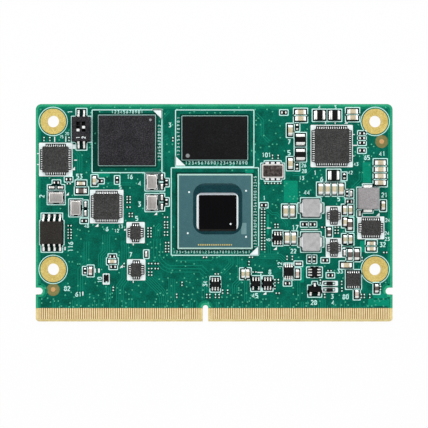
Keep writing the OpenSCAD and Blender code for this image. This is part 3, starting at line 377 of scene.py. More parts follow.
def land_toes(lands, packages):
    """Solder lands of leadless chips: a flat bar from under the chip to its wall, there a low hollow rise
    that falls with the square of what is left of the first third of the way, then a flat pad out to the
    land's end."""
    quarter, near, _ = facing(lands, packages)
    own = packages[near]
    reach, width, height, foot = own_sizes(lands, quarter)
    out = outward(quarter)[0]
    wall = (np.abs(out) * (own[:, 1] - own[:, 0])[:, :2] / 2).sum(1)
    start = wall - ((foot - own.mean(1))[:, :2] * out).sum(1)
    foot[:, :2] += out * start[:, None]
    rise = TOE_LIFT + TOE_RISE * np.clip(1 - TOE_SHARES / TOE_END, 0, 1) ** 2
    rise = rise - TOE_DROP * (TOE_SHARES == 1)
    rise = height[:, None] + np.where(TOE_SHARES < 0, 0, rise)
    out = LAND_REACH * (reach - start)[:, None] * TOE_SHARES
    width = LAND_SHARE * width[:, None] * (1 - TOE_TAPER * np.abs(TOE_SHARES) ** 3)
    return bars(quarter, foot, out, width, rise, 0.03)


def chip_boxes(cores, caps):
    """Whole boxes of chip parts: each core's box grown by the end caps that lie nearest to it."""
    group = np.concatenate([np.arange(len(cores)), facing(caps, cores)[1]])
    return group_boxes(np.concatenate([cores, caps]), group)


def lead_rows(leads, bodies):
    """Boxes round the leads that leave a body on the same side."""
    quarter, near, _ = facing(leads, bodies)
    return group_boxes(leads, np.unique(near * 4 + quarter, return_inverse=True)[1])


# Materials
LOW_SHARE, HIGH_SHARE = 0.36, 0.64  # of the grain's noise, where its first and last tone lie
NOISE_LOW, NOISE_HIGH = 0.3, 0.7  # where the roughness is least and most
BUMP_DEPTH = 0.3  # of the grain's size


def add_node(tree, kind, inputs, out=0, **settings):
    """Adds a node, fills its inputs with values or links, and returns one of its outputs."""
    made = tree.nodes.new("ShaderNode" + kind)
    for key, value in settings.items():
        setattr(made, key, value)
    for key, value in inputs.items():
        if isinstance(value, bpy.types.NodeSocket):
            tree.links.new(value, made.inputs[key])
        else:
            made.inputs[key].default_value = value
    return made.outputs[out]


def reckon(tree, operation, *values):
    """The result of one step of arithmetic on values or links."""
    return add_node(tree, "Math", dict(enumerate(values)), operation=operation)


def away(tree, value, middle):
    """The distance of a coordinate from a middle."""
    return reckon(tree, "ABSOLUTE", reckon(tree, "SUBTRACT", value, middle * MM))


def rising(tree, value, low, high):
    """Nought up to a low coordinate, one past a high one and an even rise between them."""
    return add_node(tree, "MapRange", {"Value": value, "From Min": low * MM, "From Max": high * MM})


def blend(tree, share, first, second):
    """The first colour where the share is nought and the second where it is one."""
    return add_node(tree, "Mix", {0: share, 6: first, 7: second}, 2, data_type="RGBA")


def axes(tree, place):
    """The three coordinates of a place."""
    return add_node(tree, "SeparateXYZ", {0: place}).node.outputs


def tone_ramp(tree, share, *tones):
    """Colours that run evenly through the tones, from the low share to the high one."""
    made = tree.nodes.new("ShaderNodeValToRGB")
    band = made.color_ramp.elements
    places = np.linspace(LOW_SHARE, HIGH_SHARE, len(tones))
    band[0].position, band[1].position = places[0], places[-1]
    for place in places[1:-1]:
        band.new(place)
    for stop, tone in zip(band, tones):
        stop.color = seen(*tone)
    tree.links.new(share, made.inputs[0])
    return made.outputs[0]


def new_finish(name, metal=0.0, gloss=0.5):
    """A fresh material with its node tree, its shader and the place on the piece."""
    made = bpy.data.materials.new(name)
    made.use_nodes = True
    tree = made.node_tree
    shader = tree.nodes["Principled BSDF"]
    shader.inputs["Metallic"].default_value = metal
    shader.inputs["Specular IOR Level"].default_value = gloss
    return made, tree, shader, add_node(tree, "TexCoord", {}, "Object")


def add_grain(tree, shader, place, grain, patch, rough, spread, bump, cloud=0.25):
    """A fine noise of the grain's size over a slow noise of the patch's size; roughness and bump follow the
    grain. Returns both, mixed by the cloud's share, about a half."""
    fine = {"Vector": place, "Scale": 1 / (grain * MM), "Detail": 3.0, "Roughness": 0.6}
    fine = add_node(tree, "TexNoise", fine)
    slow = add_node(tree, "TexNoise", {"Vector": place, "Scale": 1 / (patch * MM), "Detail": 2.0})
    rise = {"Value": fine, "From Min": NOISE_LOW, "From Max": NOISE_HIGH}
    rise |= {"To Min": rough - spread, "To Max": rough + spread}
    tree.links.new(add_node(tree, "MapRange", rise), shader.inputs["Roughness"])
    if bump:
        push = {"Height": fine, "Strength": bump, "Distance": grain * MM * BUMP_DEPTH}
        tree.links.new(add_node(tree, "Bump", push), shader.inputs["Normal"])
    return reckon(tree, "MULTIPLY_ADD", fine, 1 - cloud, reckon(tree, "MULTIPLY", slow, cloud))


def grained(name, tones, grain, patch, rough, metal=0.0, gloss=0.5, bump=0.0, spread=0.05, cloud=0.25):
    """A finish whose colour runs through its tones with the grain."""
    made, tree, shader, place = new_finish(name, metal, gloss)
    share = add_grain(tree, shader, place, grain, patch, rough, spread, bump, cloud)
    tree.links.new(tone_ramp(tree, share, *tones), shader.inputs["Base Color"])
    return made


def board_finish():
    """Green mask on the two faces, bare laminate on every surface below the mask's thickness: brown between
    the contacts, paler on the lead-in bevel, round the key slot and beside the last contacts, olive in the
    windows, and in thin layers on the sawn edges."""
    made, tree, shader, place = new_finish("solder_mask_board", gloss=0.06)
    share = add_grain(
        tree, shader, place, grain=0.3, patch=1.8, rough=0.36, spread=0.05, bump=0.08, cloud=0.4
    )
    x, y, z = axes(tree, place)
    layers = reckon(tree, "SINE", reckon(tree, "MULTIPLY", z, 2 * math.pi / (LAYER_T * MM)))
    weave = reckon(tree, "MULTIPLY_ADD", layers, LAYER_SHARE, share)
    mask = tone_ramp(tree, share, (0, 74, 60), (0, 98, 80), (6, 120, 98))
    gaps = tone_ramp(tree, weave, (44, 31, 14), (86, 64, 36))
    pale = tone_ramp(tree, weave, (224, 198, 136), (249, 231, 172))
    olive = tone_ramp(tree, weave, (124, 118, 70), (152, 144, 94))
    past_key = reckon(tree, "GREATER_THAN", away(tree, x, KEY_X), KEY_W * MM)
    past_ends = reckon(tree, "GREATER_THAN", away(tree, x, 0.0), CONTACTS_END * MM)
    on_bevel = reckon(tree, "LESS_THAN", y, BEVEL_Y * MM)
    in_window = reckon(tree, "GREATER_THAN", y, MASK_END * MM)
    mask_starts = (TOP - UNDER) / 2 - MASK_T / 2
    coated = reckon(tree, "GREATER_THAN", away(tree, z, (UNDER + TOP) / 2), mask_starts * MM)
    colour = blend(tree, past_key, pale, gaps)
    for where, tone in ((past_ends, pale), (on_bevel, pale), (in_window, olive), (coated, mask)):
        colour = blend(tree, where, colour, tone)
    tree.links.new(colour, shader.inputs["Base Color"])
    return made


def brushed(name, tones, along, across, rough):
    """Metal with fine lines: the noise is stretched along Y, and its lines give colour and roughness."""
    made, tree, shader, place = new_finish(name, metal=1.0)
    scale = 1 / (across * MM), 1 / (along * MM), 1 / (along * MM)
    drawn = add_node(tree, "Mapping", {"Vector": place, "Scale": scale})
    share = add_grain(tree, shader, drawn, 1 / MM, 9 / MM, rough, spread=0.06, bump=0.0)
    tree.links.new(tone_ramp(tree, share, *tones), shader.inputs["Base Color"])
    return made


def shoulder_finish(near_y, far_y, foot_z, width, height):
    """Sawn slopes of the die, bright with painted reflections: paler towards their foot and a little greyer
    on the far side, with painted shade on the slope towards the card edge."""
    made, tree, shader, place = new_finish("die_shoulder", gloss=0.1)
    share = add_grain(tree, shader, place, grain=0.12, patch=1.5, rough=0.3, spread=0.05, bump=0.05)
    pale = tone_ramp(tree, share, (240, 246, 247), (253, 255, 255))
    bright = tone_ramp(tree, share, (204, 210, 212), (230, 236, 238))
    grey = tone_ramp(tree, share, (148, 154, 160), (176, 182, 188))
    shaded_tone = tone_ramp(tree, share, (22, 22, 20), (48, 44, 38))
    _, y, z = axes(tree, place)
    colour = blend(tree, rising(tree, z, foot_z, foot_z + height), pale, bright)
    colour = blend(tree, rising(tree, y, far_y - width, far_y), colour, grey)
    colour = blend(tree, rising(tree, y, near_y, near_y + width), shaded_tone, colour)
    tree.links.new(colour, shader.inputs["Base Color"])
    return made


def two_tone(name, inner, outer, axis, middle, start, width, rough, gloss, metal=None):
    """Two sets of tones on one piece, used for two finishes and also for a finish with its painted shade: the
    tones turn from the inner ones to the outer ones where the distance from the middle along an axis passes
    the start, and so does the share of metal if two are given."""
    made, tree, shader, place = new_finish(name, gloss=gloss)
    share = add_grain(tree, shader, place, 0.08, 1.0, rough, spread=0.05, bump=0.08)
    fade = rising(tree, away(tree, axes(tree, place)[axis], middle), start, start + width)
    colour = blend(tree, fade, tone_ramp(tree, share, *inner), tone_ramp(tree, share, *outer))
    tree.links.new(colour, shader.inputs["Base Color"])
    if metal:
        turn = {"Value": fade, "To Min": metal[0], "To Max": metal[1]}
        tree.links.new(add_node(tree, "MapRange", turn), shader.inputs["Metallic"])
    return made


# Layers on the board: each starts a little inside it, and the higher roof shows where two of them meet
SINK = 0.01
RIM_LIFT, TRACE_LIFT = 0.004, 0.014
INK_FLOOR = TOP - SINK
SHADE_ROOF = TOP + 0.006
STRIP_ROOF = TOP + 0.007
POUR_ROOF = TOP + 0.008
INK_ROOF = TOP + 0.024
BLOCK_ROOF = INK_ROOF + 0.002
DIGIT_ROOF = INK_ROOF + 0.004
CLEAR_ROOF = TOP + 0.03
DIVIDER_ROOF = TOP + 0.034
PAD_ROOF = TOP + 0.042


def both_faces(lift):
    """Floor and roof of a layer on the upper face, then on the underside."""
    return (TOP - SINK, TOP + lift), (UNDER - lift, UNDER + SINK)


# Finishes: name, tones, sizes of grain and patch, roughness
METAL = {"metal": 1.0, "bump": 0.1}
FOIL = {"metal": 1.0, "bump": 0.05}
PRINT = {"gloss": 0.2, "bump": 0.08}
MOULDED = {"gloss": 0.06, "bump": 0.06, "cloud": 0.15}
FIRED = {"gloss": 0.2, "bump": 0.15}

MASK = board_finish()
RIM_MASK = grained("rim_mask", [(32, 146, 110), (48, 166, 124), (68, 182, 140)], 0.3, 2.5, 0.36, gloss=0.06)
FADE_MASK = grained(
    "rim_fade_mask", [(4, 110, 84), (10, 128, 96), (20, 140, 106)], 0.3, 2.5, 0.36, gloss=0.06
)
POUR_MASK = grained(
    "pour_mask", [(0, 122, 96), (0, 138, 108), (6, 150, 120)], 0.25, 2.0, 0.34, gloss=0.08, bump=0.1
)
TRACE_MASK = grained("trace_mask", [(4, 122, 98), (16, 138, 112)], 0.2, 3.0, 0.34, gloss=0.08)
VIA_MASK = grained("via_mask", [(52, 150, 120), (80, 182, 148), (106, 198, 168)], 0.15, 6.0, 0.34, gloss=0.1)
# Dark mask round the parts: partly the mask's own opening, partly painted shade
CLEARING_AND_SHADE_MASK = grained(
    "clearing_and_shade_mask", [(0, 20, 16), (0, 31, 26), (0, 43, 36)], 0.2, 2.5, 0.34, gloss=0.05, bump=0.08
)
SHADE_MASK = grained("shaded_mask", [(0, 52, 43), (0, 64, 53), (0, 76, 63)], 0.25, 4.0, 0.36, gloss=0.05)
INK = grained("legend_ink", [(234, 249, 247), (246, 254, 253), (254, 255, 255)], 0.12, 3.0, 0.6, **PRINT)
LINE_INK = grained(
    "thin_legend_ink", [(188, 240, 232), (204, 249, 242), (218, 254, 248)], 0.12, 3.0, 0.6, **PRINT
)
GOLD = grained("gold_plating", [(218, 187, 133), (236, 208, 155), (248, 226, 178)], 0.1, 0.9, 0.32, **FOIL)
COPPER = grained("fiducial_copper", [(184, 142, 94), (210, 170, 116)], 0.1, 0.8, 0.35, **FOIL)
RING_GOLD = grained("ring_gold", [(182, 156, 82), (205, 183, 108), (223, 205, 134)], 0.16, 1.6, 0.34, **METAL)
SOLDER = grained(
    "reflowed_solder", [(214, 215, 217), (236, 237, 238), (250, 250, 250)], 0.08, 0.9, 0.24, **METAL
)
TIN = grained("matte_tin", [(206, 206, 204), (232, 232, 229), (248, 248, 246)], 0.07, 1.2, 0.34, **METAL)
COOL_TIN = grained(
    "bright_tin", [(186, 228, 216), (208, 244, 234), (228, 252, 246)], 0.07, 1.2, 0.34, **METAL
)
SUBSTRATE = grained(
    "substrate_laminate", [(50, 88, 93), (66, 106, 111), (84, 126, 130)], 0.09, 1.2, 0.4,
    gloss=0.1, bump=0.1, cloud=0.1,
)
EDGE_LAMINATE = grained(
    "substrate_edge", [(172, 206, 194), (192, 224, 211), (208, 238, 226)], 0.12, 2.0, 0.5, gloss=0.2
)
BARE_PATCH = grained("bare_patch", [(98, 136, 138), (126, 160, 160)], 0.09, 1.2, 0.4, gloss=0.1, bump=0.1)
CHIP_GREEN = grained("package_laminate", [(30, 62, 44), (42, 78, 56)], 0.1, 2.0, 0.45, gloss=0.2)
SEALANT = grained(
    "sealing_resin", [(8, 44, 50), (14, 56, 62), (22, 68, 74)], 0.3, 3.0, 0.2, gloss=0.08, bump=0.06
)
# Painted shade: a dark strip laid over the foot of the die's near slope
NEAR_SHADE = grained(
    "painted_near_shade", [(20, 24, 23), (30, 34, 33), (42, 44, 42)], 0.3, 3.0, 0.3, gloss=0.05, bump=0.06
)
SILICON = grained(
    "polished_silicon", [(2, 2, 3), (4, 4, 6), (8, 8, 10)], 0.3, 4.0, 0.08, gloss=0.05, spread=0.02
)
MOULD_BLACK = grained("mould_black", [(12, 12, 13), (22, 22, 23), (34, 34, 35)], 0.18, 3.5, 0.55, **MOULDED)
MOULD_GREY = grained("mould_charcoal", [(22, 21, 25), (44, 43, 46), (70, 67, 71)], 0.22, 3.0, 0.55, **MOULDED)
MOULD_ASH = grained("mould_ash", [(42, 41, 41), (63, 62, 61), (86, 85, 84)], 0.2, 3.0, 0.55, **MOULDED)
MOULD_BROWN = grained("mould_brown", [(32, 29, 27), (49, 46, 43), (68, 65, 61)], 0.2, 3.0, 0.55, **MOULDED)
DARK_CERAMIC = grained(
    "dark_ceramic", [(26, 23, 22), (36, 32, 30), (50, 45, 42)], 0.05, 1.5, 0.5, gloss=0.1, bump=0.2
)
PALE_CERAMIC = grained(
    "pale_ceramic", [(206, 200, 194), (224, 219, 214), (240, 237, 233)], 0.05, 1.2, 0.5, gloss=0.3, bump=0.2
)
TAN_CERAMIC = grained(
    "tan_ceramic", [(184, 168, 134), (208, 194, 160), (226, 214, 184)], 0.07, 1.6, 0.45, **FIRED
)
PINK_CERAMIC = grained(
    "pink_ceramic", [(180, 154, 144), (202, 178, 168), (220, 200, 190)], 0.07, 1.6, 0.45, **FIRED
)
BROWN_CERAMIC = grained(
    "brown_ceramic", [(84, 73, 69), (106, 94, 89), (128, 116, 110)], 0.07, 1.6, 0.45, gloss=0.1, bump=0.15
)
LID = brushed("brushed_lid", [(128, 124, 121), (153, 149, 146), (178, 174, 171)], 0.6, 0.03, 0.38)
DARK_LID = grained(
    "oxide_lid", [(32, 28, 27), (66, 59, 56), (104, 96, 92)], 0.22, 0.7, 0.45,
    metal=0.6, gloss=0.1, bump=0.15, cloud=0.5,
)
GREY_FERRITE = grained(
    "painted_powder", [(134, 129, 130), (156, 151, 152), (180, 176, 176)], 0.14, 2.0, 0.6,
    gloss=0.15, bump=0.3,
)
PALE_MARK = grained("pale_mark", [(128, 130, 130), (150, 152, 152)], 0.06, 1.0, 0.5, gloss=0.3)

# Chip parts with end caps
CORE_LONGER, CORE_SLIMMER, CORE_LOWER = 0.04, 0.02, 0.03
MANY = 60  # bodies of a larger group have plainer edges


def add_chips(name, finish, slot, cores, caps, *stands_for):
    """Bodies of chip parts as blocks with soft edges: a hair lower and slimmer than their caps, and a hair
    longer, so that they end inside them."""
    quarter, near, _ = facing(caps, cores)
    along_x = np.zeros((len(cores), 1), bool)
    along_x[near[quarter % 2 == 0]] = True
    grow = np.where(along_x, [CORE_LONGER, -CORE_SLIMMER, 0], [-CORE_SLIMMER, CORE_LONGER, 0])
    slim = np.stack([cores[:, 0] - grow, cores[:, 1] + grow - [0, 0, CORE_LOWER]], 1)
    points = 2 if len(cores) > MANY else 3
    add_piece(name, finish, slot, [soft_blocks(slim, 0.04, 0.05, 2, points)], *stands_for)


CHIPS = {
    kind: (SOLIDS[kind + "_bodies"], SOLIDS[kind + "_terminals"])
    for kind in ("capacitor", "ferrite", "diode", "miniature")
}
resistors, load_capacitors = SOLIDS["resistor_bodies"], SOLIDS["load_capacitor_bodies"]
small_caps = SOLIDS["small_terminals"]
CHIPS["small"] = np.concatenate([resistors, load_capacitors]), small_caps
on_resistor = facing(small_caps, CHIPS["small"][0])[1] < len(resistors)

# Capacitors of other ceramics, by their spots
BROWN_SPOTS = [(-30.5, 5.05), (31.2, -9.6), (32.75, -9.6), (31.15, -2.7), (37.3, -17.35), (26.4, -4.4)]
PINK_SPOTS = [(-28.4, -13.35), (32.75, -18.65), (19.1, -14.0)]
NEAR_SPOT = 0.5
capacitors, capacitor_caps = CHIPS["capacitor"]
cap_owner = facing(capacitor_caps, capacitors)[1]
brown, pink = (
    (np.linalg.norm(capacitors.mean(1)[:, None, :2] - spots, axis=-1) < NEAR_SPOT).any(1)
    for spots in (BROWN_SPOTS, PINK_SPOTS)
)
for name, finish, mine, *nodes in (
    ("tan_capacitors", TAN_CERAMIC, ~brown & ~pink, "capacitor_bodies"),
    ("brown_capacitors", BROWN_CERAMIC, brown), ("pink_capacitors", PINK_CERAMIC, pink),
):
    add_chips(name, finish, "ceramic_tan", capacitors[mine], capacitor_caps[mine[cap_owner]], *nodes)
add_chips("resistors", MOULD_BLACK, "mould_black", resistors, small_caps[on_resistor], "resistor_bodies")
add_chips(
    "load_capacitors", PALE_CERAMIC, "ceramic_pale", load_capacitors, small_caps[~on_resistor],
    "load_capacitor_bodies",
)
add_chips("ferrites", MOULD_BLACK, "mould_black", *CHIPS["ferrite"], "ferrite_bodies")
DIODE_IN, DIODE_SLIMMER = 0.2, 0.02
diodes = chip_boxes(*CHIPS["diode"])
lying = np.ptp(diodes, 1)[:, :1] > np.ptp(diodes, 1)[:, 1:2]
inset = np.where(lying, [DIODE_IN, DIODE_SLIMMER, 0], [DIODE_SLIMMER, DIODE_IN, 0])
diodes = np.stack([diodes[:, 0] + inset, diodes[:, 1] - inset], 1)
add_piece("diodes", MOULD_BLACK, "mould_black", [soft_blocks(diodes, 0.05, 0.08, 3)], "diode_bodies")
add_chips("miniatures", DARK_CERAMIC, "ceramic_dark", *CHIPS["miniature"], "miniature_bodies")
for kind, stations, finish in (
    ("capacitor", CAP_STATIONS, TIN), ("small", CAP_STATIONS, TIN), ("ferrite", CAP_STATIONS, TIN),
    ("diode", TAB_STATIONS, COOL_TIN), ("miniature", TINY_STATIONS, COOL_TIN),
):
    cores, caps = CHIPS[kind]
    add_piece(kind + "_end_caps", finish, "tin", [end_caps(caps, cores, stations)], kind + "_terminals")

# Leaded chips
LEADED = (  # body, leads, finish, margins of the printed outline round the body and round its rows of leads
    ("boot_flash_body", "boot_flash_leads", MOULD_BROWN, 0.12, 0.25),
    ("supervisor_body", "supervisor_leads", MOULD_BLACK, 0.1, 0.1),
    ("gate_bodies", "gate_leads", MOULD_BLACK, 0.14, 0.33),
    ("transistor_body", "transistor_leads", MOULD_BLACK, 0.2, 0.33),
)
MOULD_EDGES = [
    (0.1, 0, 0), (0.07, 0, 0.03), (0.0, 0.5, -LEAD_T / 2), (0.0, 0.5, LEAD_T / 2), (0.07, 1, -0.04),
    (0.11, 1, 0),
]
outlined = []  # boxes and the margin of the printed outline round them
for body_node, lead_node, finish, body_margin, row_margin in LEADED:
    bodies, leads = SOLIDS[body_node], SOLIDS[lead_node]
    moulded = round_blocks(bodies, MOULD_EDGES, 0.14, 3)
    add_piece(body_node + "_moulded", finish, "mould_black", [moulded], body_node)
    add_piece(lead_node + "_bent", TIN, "tin", [bent_leads(leads, bodies)], lead_node)
    add_piece(lead_node + "_solder", SOLDER, "solder", [foot_solder(leads, bodies)])
    outlined += [(bodies, body_margin), (lead_rows(leads, bodies), row_margin)]

# Leadless chips: all but the load switch lie on a white printed block with dark windows for their lands
LEADLESS = (
    "power_manager_package", "hub_package", "network_package", "shifter_packages", "regulator_packages",
    "converter_package", "load_switch_package",
)
EDGE_SHARE = 0.6  # lands further out than this share of the chip's half are on its edge
WINDOW_ALONG, WINDOW_OUT, BLOCK_OUT = 0.24, 0.13, 0.34
white_blocks, land_windows = [], []
for package_node in LEADLESS:
    land_node = package_node.rsplit("_", 1)[0] + "_lands"
    packages, lands = SOLIDS[package_node], SOLIDS[land_node]
    add_softened(package_node, MOULD_ASH, 0.05)
    edge = facing(lands, packages)[2] > EDGE_SHARE
    soldered = [land_toes(lands[edge], packages), soft_blocks(lands[~edge], 0.01, 0.05, 2, 2)]
    add_piece(land_node + "_soldered", SOLDER, "solder", soldered, land_node)
    if package_node == "load_switch_package":
        continue
    rows = lead_rows(lands[edge], packages)
    upright = (facing(rows, packages)[0] % 2 == 0)[:, None]
    margin = np.where(upright, [WINDOW_OUT, WINDOW_ALONG], [WINDOW_ALONG, WINDOW_OUT])
    land_windows.append(np.stack([rows[:, 0, :2] - margin, rows[:, 1, :2] + margin], 1))
    white_blocks.append(chip_boxes(packages, lands))
white_blocks, land_windows = np.concatenate(white_blocks), np.concatenate(land_windows)

# Ball-grid packages: a thin laminate plate under a mould that stands a hair inside it
PLATE_T, MOULD_IN = 0.22, 0.04
for node, finish, slot in (
    ("memory_package", MOULD_BLACK, "mould_black"), ("storage_package", MOULD_GREY, "mould_grey"),
):
    low, high = SOLIDS[node][0]
    split = low[2] + PLATE_T
    plate = np.array([low, [high[0], high[1], split]])
    mould = np.array([[low[0] + MOULD_IN, low[1] + MOULD_IN, split], high - [MOULD_IN, MOULD_IN, 0]])
    add_piece(node + "_laminate", CHIP_GREEN, slot, [soft_blocks(plate, 0.02, 0.08, 3, 2)])
    add_piece(node + "_mould", finish, slot, [soft_blocks(mould, 0.07, 0.12)], node)

substrate = SOLIDS["processor_substrate"][0]
laminate = soft_blocks(substrate, 0.05, 0.12)
add_piece("processor_laminate", SUBSTRATE, "chip_laminate", [laminate], "processor_substrate")

BULGE = 0.22  # how much slimmer a ball is at its ends
for node in ("processor_solder_balls", "memory_solder_balls", "storage_solder_balls"):
    balls = SOLIDS[node]
    low, high = balls[0]
    level = np.linspace(-1, 1, 5)
    radius = (high[0] - low[0]) / 2 * (1 - BULGE * level**2)
    barrel = np.stack([radius, low[2] + (high[2] - low[2]) * (level + 1) / 2], -1)
    add_piece(node + "_reflowed", SOLDER, "solder", [round_posts(balls.mean(1)[:, :2], barrel, 8)], node)

# Processor die, its slopes and its sealing fillet: the slopes are round, and wider on the far side
DIE_SLOPE = 0.65
FACE_SHIFT = 0.14
FACE_IN = DIE_SLOPE - 0.07
FACE_T = 0.08
NEAR_END, FAR_END = 0.7, 0.9  # of the slope's width, where the tones of its near and far side turn
TURN_W, TURN_H = 0.12, 0.3
NEAR_SHADE_OUT, NEAR_SHADE_IN, NEAR_SHADE_LIFT = 0.45, 0.2, 0.06
SHOULDER_GROWTH = [[-0.16, 0, 0], [0.06, 0.08, -0.03]]
SHOULDER = np.array([(0, 0, 0), (0.28, 0.5, 0), (DIE_SLOPE - 0.04, 1, 0)])
FILLET = [(0, 0, 0), (0.04, 0.2, 0), (0.16, 0.45, 0), (0.4, 0.75, 0), (0.75, 1, 0)]
die, sealant = SOLIDS["processor_die"][0], SOLIDS["processor_underfill"][0]
shoulder = round_blocks(die + SHOULDER_GROWTH, SHOULDER, 1.4, 6)
shoulder[..., 1] -= FACE_SHIFT * SHOULDER[:, 1, None]
slope_ends = die[0, 1] + DIE_SLOPE * NEAR_END, die[1, 1] - DIE_SLOPE * FAR_END
# The slopes' tones are painted reflections, and the near slope's dark tone is painted shade
slope_finish = shoulder_finish(*slope_ends, sealant[1, 2], TURN_W, TURN_H)
add_piece("die_shoulder", slope_finish, "silicon", [shoulder])
face = die + [[FACE_IN, FACE_IN - FACE_SHIFT, 0], [-FACE_IN, -FACE_IN - FACE_SHIFT, 0]]
face[0, 2] = face[1, 2] - FACE_T
add_piece("die_face", SILICON, "silicon", [soft_blocks(face, 0.02, 0.3, 4, 2)], "processor_die")
(left, near, _), (right, _, _) = face
# A dark strip of painted shade over the near slope of the die
near_shade_strip = [(left, near - NEAR_SHADE_OUT, die[0, 2]), (right, near + NEAR_SHADE_IN, sealant[1, 2] + NEAR_SHADE_LIFT)]
add_piece("die_near_shade", NEAR_SHADE, "sealant", [soft_blocks(near_shade_strip, 0.05, 0.3)])
add_piece("die_sealant", SEALANT, "sealant", [round_blocks(sealant, FILLET, 2.7, 8)], "processor_underfill")

# Switch: painted shade on the terminals and the sliders inside the housing
housing = SOLIDS["switch_housing"]
switch_y, switch_half = housing[0].mean(0)[1], (housing[0, 1, 1] - housing[0, 0, 1]) / 2
switch_top = housing[0, 1, 2]
SHADE = [(14, 14, 15), (24, 24, 26)]
TIN_TONES = [(208, 208, 206), (244, 244, 242)]
KNOB_TONES = [(236, 236, 234), (252, 252, 250)]
TERMINAL = two_tone(
    "switch_terminal_tin", SHADE, TIN_TONES, "Y", switch_y,
    start=switch_half - 0.08, width=0.06, rough=0.34, gloss=0.1, metal=(0.0, 1.0),
)
KNOB = two_tone(
    "slider_plastic", SHADE, KNOB_TONES, "Z", 0.0, start=switch_top - 0.3, width=0.05, rough=0.45, gloss=0.1
)
add_softened("switch_housing", MOULD_GREY, 0.05)
add_softened("switch_base", MOULD_BLACK, 0.04)
add_softened("switch_terminals", TERMINAL, 0.03)
add_softened("switch_slider_left", KNOB, 0.05, "slider_left")
add_softened("switch_slider_right", KNOB, 0.05, "slider_right")

# Crystals and oscillator
PLATE_INSET = [[0.13, 0.13, 0.02], [-0.13, -0.13, 0]]
RIM_INSET = [[0, 0, 0], [0, 0, -0.08]]
lids, cover = SOLIDS["crystal_lids"], SOLIDS["oscillator_lid"]
add_softened("crystal_bases", DARK_CERAMIC, 0.04)
add_softened("oscillator_base", PALE_CERAMIC, 0.04)
add_piece("crystal_rims", TIN, "tin", [soft_blocks(lids + RIM_INSET, 0.03, 0.25)])
add_piece("crystal_plates", LID, "lid_metal", [soft_blocks(lids + PLATE_INSET, 0.05, 0.2)], "crystal_lids")
add_piece("oscillator_cover", DARK_LID, "lid_metal", [soft_blocks(cover, 0.05, 0.25)], "oscillator_lid")

# Coils: pressed powder that is paler at its sides, and terminals with painted shade at their outer ends
coils = SOLIDS["coil_bodies"]
coil_x, coil_half = coils[0].mean(0)[0], (coils[0, 1, 0] - coils[0, 0, 0]) / 2
POWDER_TONES = [(150, 148, 148), (210, 208, 208)]
SIDE_TONES = [(208, 211, 211), (250, 252, 252)]
SHADED_TOE_TONES = [(70, 92, 84), (104, 124, 116)]
FERRITE = two_tone(
    "pressed_powder", POWDER_TONES, SIDE_TONES, "X", coil_x,
    start=coil_half - 0.34, width=0.14, rough=0.6, gloss=0.15,
)
COIL_TIN = two_tone(
    "coil_terminal_tin", TIN_TONES, SHADED_TOE_TONES, "X", coil_x,
    start=coil_half + 0.28, width=0.05, rough=0.34, gloss=0.1, metal=(1.0, 0.0),
)
add_softened("input_coil_body", GREY_FERRITE, 0.14)
add_softened("coil_bodies", FERRITE, 0.12)
add_softened("coil_terminals", COIL_TIN, 0.03)
add_softened("input_coil_terminals", TIN, 0.03)

# CAD nodes that stay
for node, finish in (
    ("circuit_board", MASK), ("hole_plating", RING_GOLD), ("edge_contacts_upper", GOLD),
    ("edge_contacts_lower", GOLD), ("fiducials", COPPER), ("crystal_lands", SOLDER),
):
    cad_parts[node].data.materials.clear()
    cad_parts[node].data.materials.append(finish)


# Copper-free rim: open strips round the board and a bow over the key slot, bright outside and fading inwards
def rim_paths(inset):
    """The board's sides and far edge, then the arch of the key slot, both at an inset: straight runs joined
    by quarter turns at the corners and half turns round the notches."""
    quarter_turn, half_turn = np.linspace(0, np.pi / 2, 7), np.linspace(-np.pi / 2, np.pi / 2, 13)
    corner_r, notch_r, key_r = max(FAR_CORNER - inset, 0.1), NOTCH_R + inset, KEY_W / 2 + inset
    edge_x, edge_y = board_high[0] - inset, board_high[1] - inset
    notch_x = board_high[0] - NOTCH_IN + NOTCH_R
    notch = np.stack([notch_x - notch_r * np.cos(half_turn), NOTCH_Y + notch_r * np.sin(half_turn)], -1)
    bend = np.stack([np.cos(quarter_turn), np.sin(quarter_turn)], -1) - 1
    start = [(edge_x, MASK_END + MASK_GAP), (edge_x, NOTCH_Y - notch_r)]
    side = np.concatenate([start, notch, [(edge_x, NOTCH_Y + notch_r)], [edge_x, edge_y] + corner_r * bend])
    arch = half_turn + np.pi / 2
    key = np.stack([KEY_X + key_r * np.cos(arch), KEY_TOP - KEY_W / 2 + key_r * np.sin(arch)], -1)
    return np.concatenate([side, side[::-1] * [-1, 1]]), key


for name, finish, inset in (("copper_free_rim", RIM_MASK, RIM_W * 0.5), ("rim_fade", FADE_MASK, RIM_W * 1.5)):
    strips = [ribbons(path, RIM_W, *levels) for path in rim_paths(inset) for levels in both_faces(RIM_LIFT)]
    add_piece(name, finish, "solder_mask", strips)


def as_plans(rows):
    """Rows of lowest x and y, highest x and y as plans."""
    return np.asarray(rows, float).reshape(-1, 2, 2)


def slabs(plans, roof, corner, steps=2, floor=INK_FLOOR):
    """Flat plates over plans, with rounded corners, from floor to roof."""
    plans = as_plans(plans)
    boxes = np.stack([lay(plans[:, 0], floor), lay(plans[:, 1], roof)], 1)
    return round_blocks(boxes, [(0, 0, 0), (0, 1, 0)], corner, steps)


def grown(boxes, margin):
    """Plans of boxes, larger by the margin on every side."""
    return boxes[..., :2] + np.array([[-margin], [margin]])


# Copper fills that show through the mask
POURS = [
    (16.0, 2.4, 19.2, 7.4), (34.1, 7.0, 36.0, 11.6), (12.1, -5.0, 12.6, -0.3), (33.5, -9.0, 34.8, -6.5),
    (19.8, -16.0, 20.6, -12.0), (35.4, -21.4, 40.2, -19.7), (7.1, 9.15, 9.1, 10.0), (-27.5, 8.3, -24.0, 9.2),
    (36.6, -19.9, 39.7, -18.6), (29.4, 2.9, 31.6, 5.2), (30.4, -2.2, 32.2, -0.4), (24.9, 4.3, 26.2, 6.4),
]
add_piece("copper_fills", POUR_MASK, "solder_mask", [slabs(POURS, POUR_ROOF, 0.2, 3)])
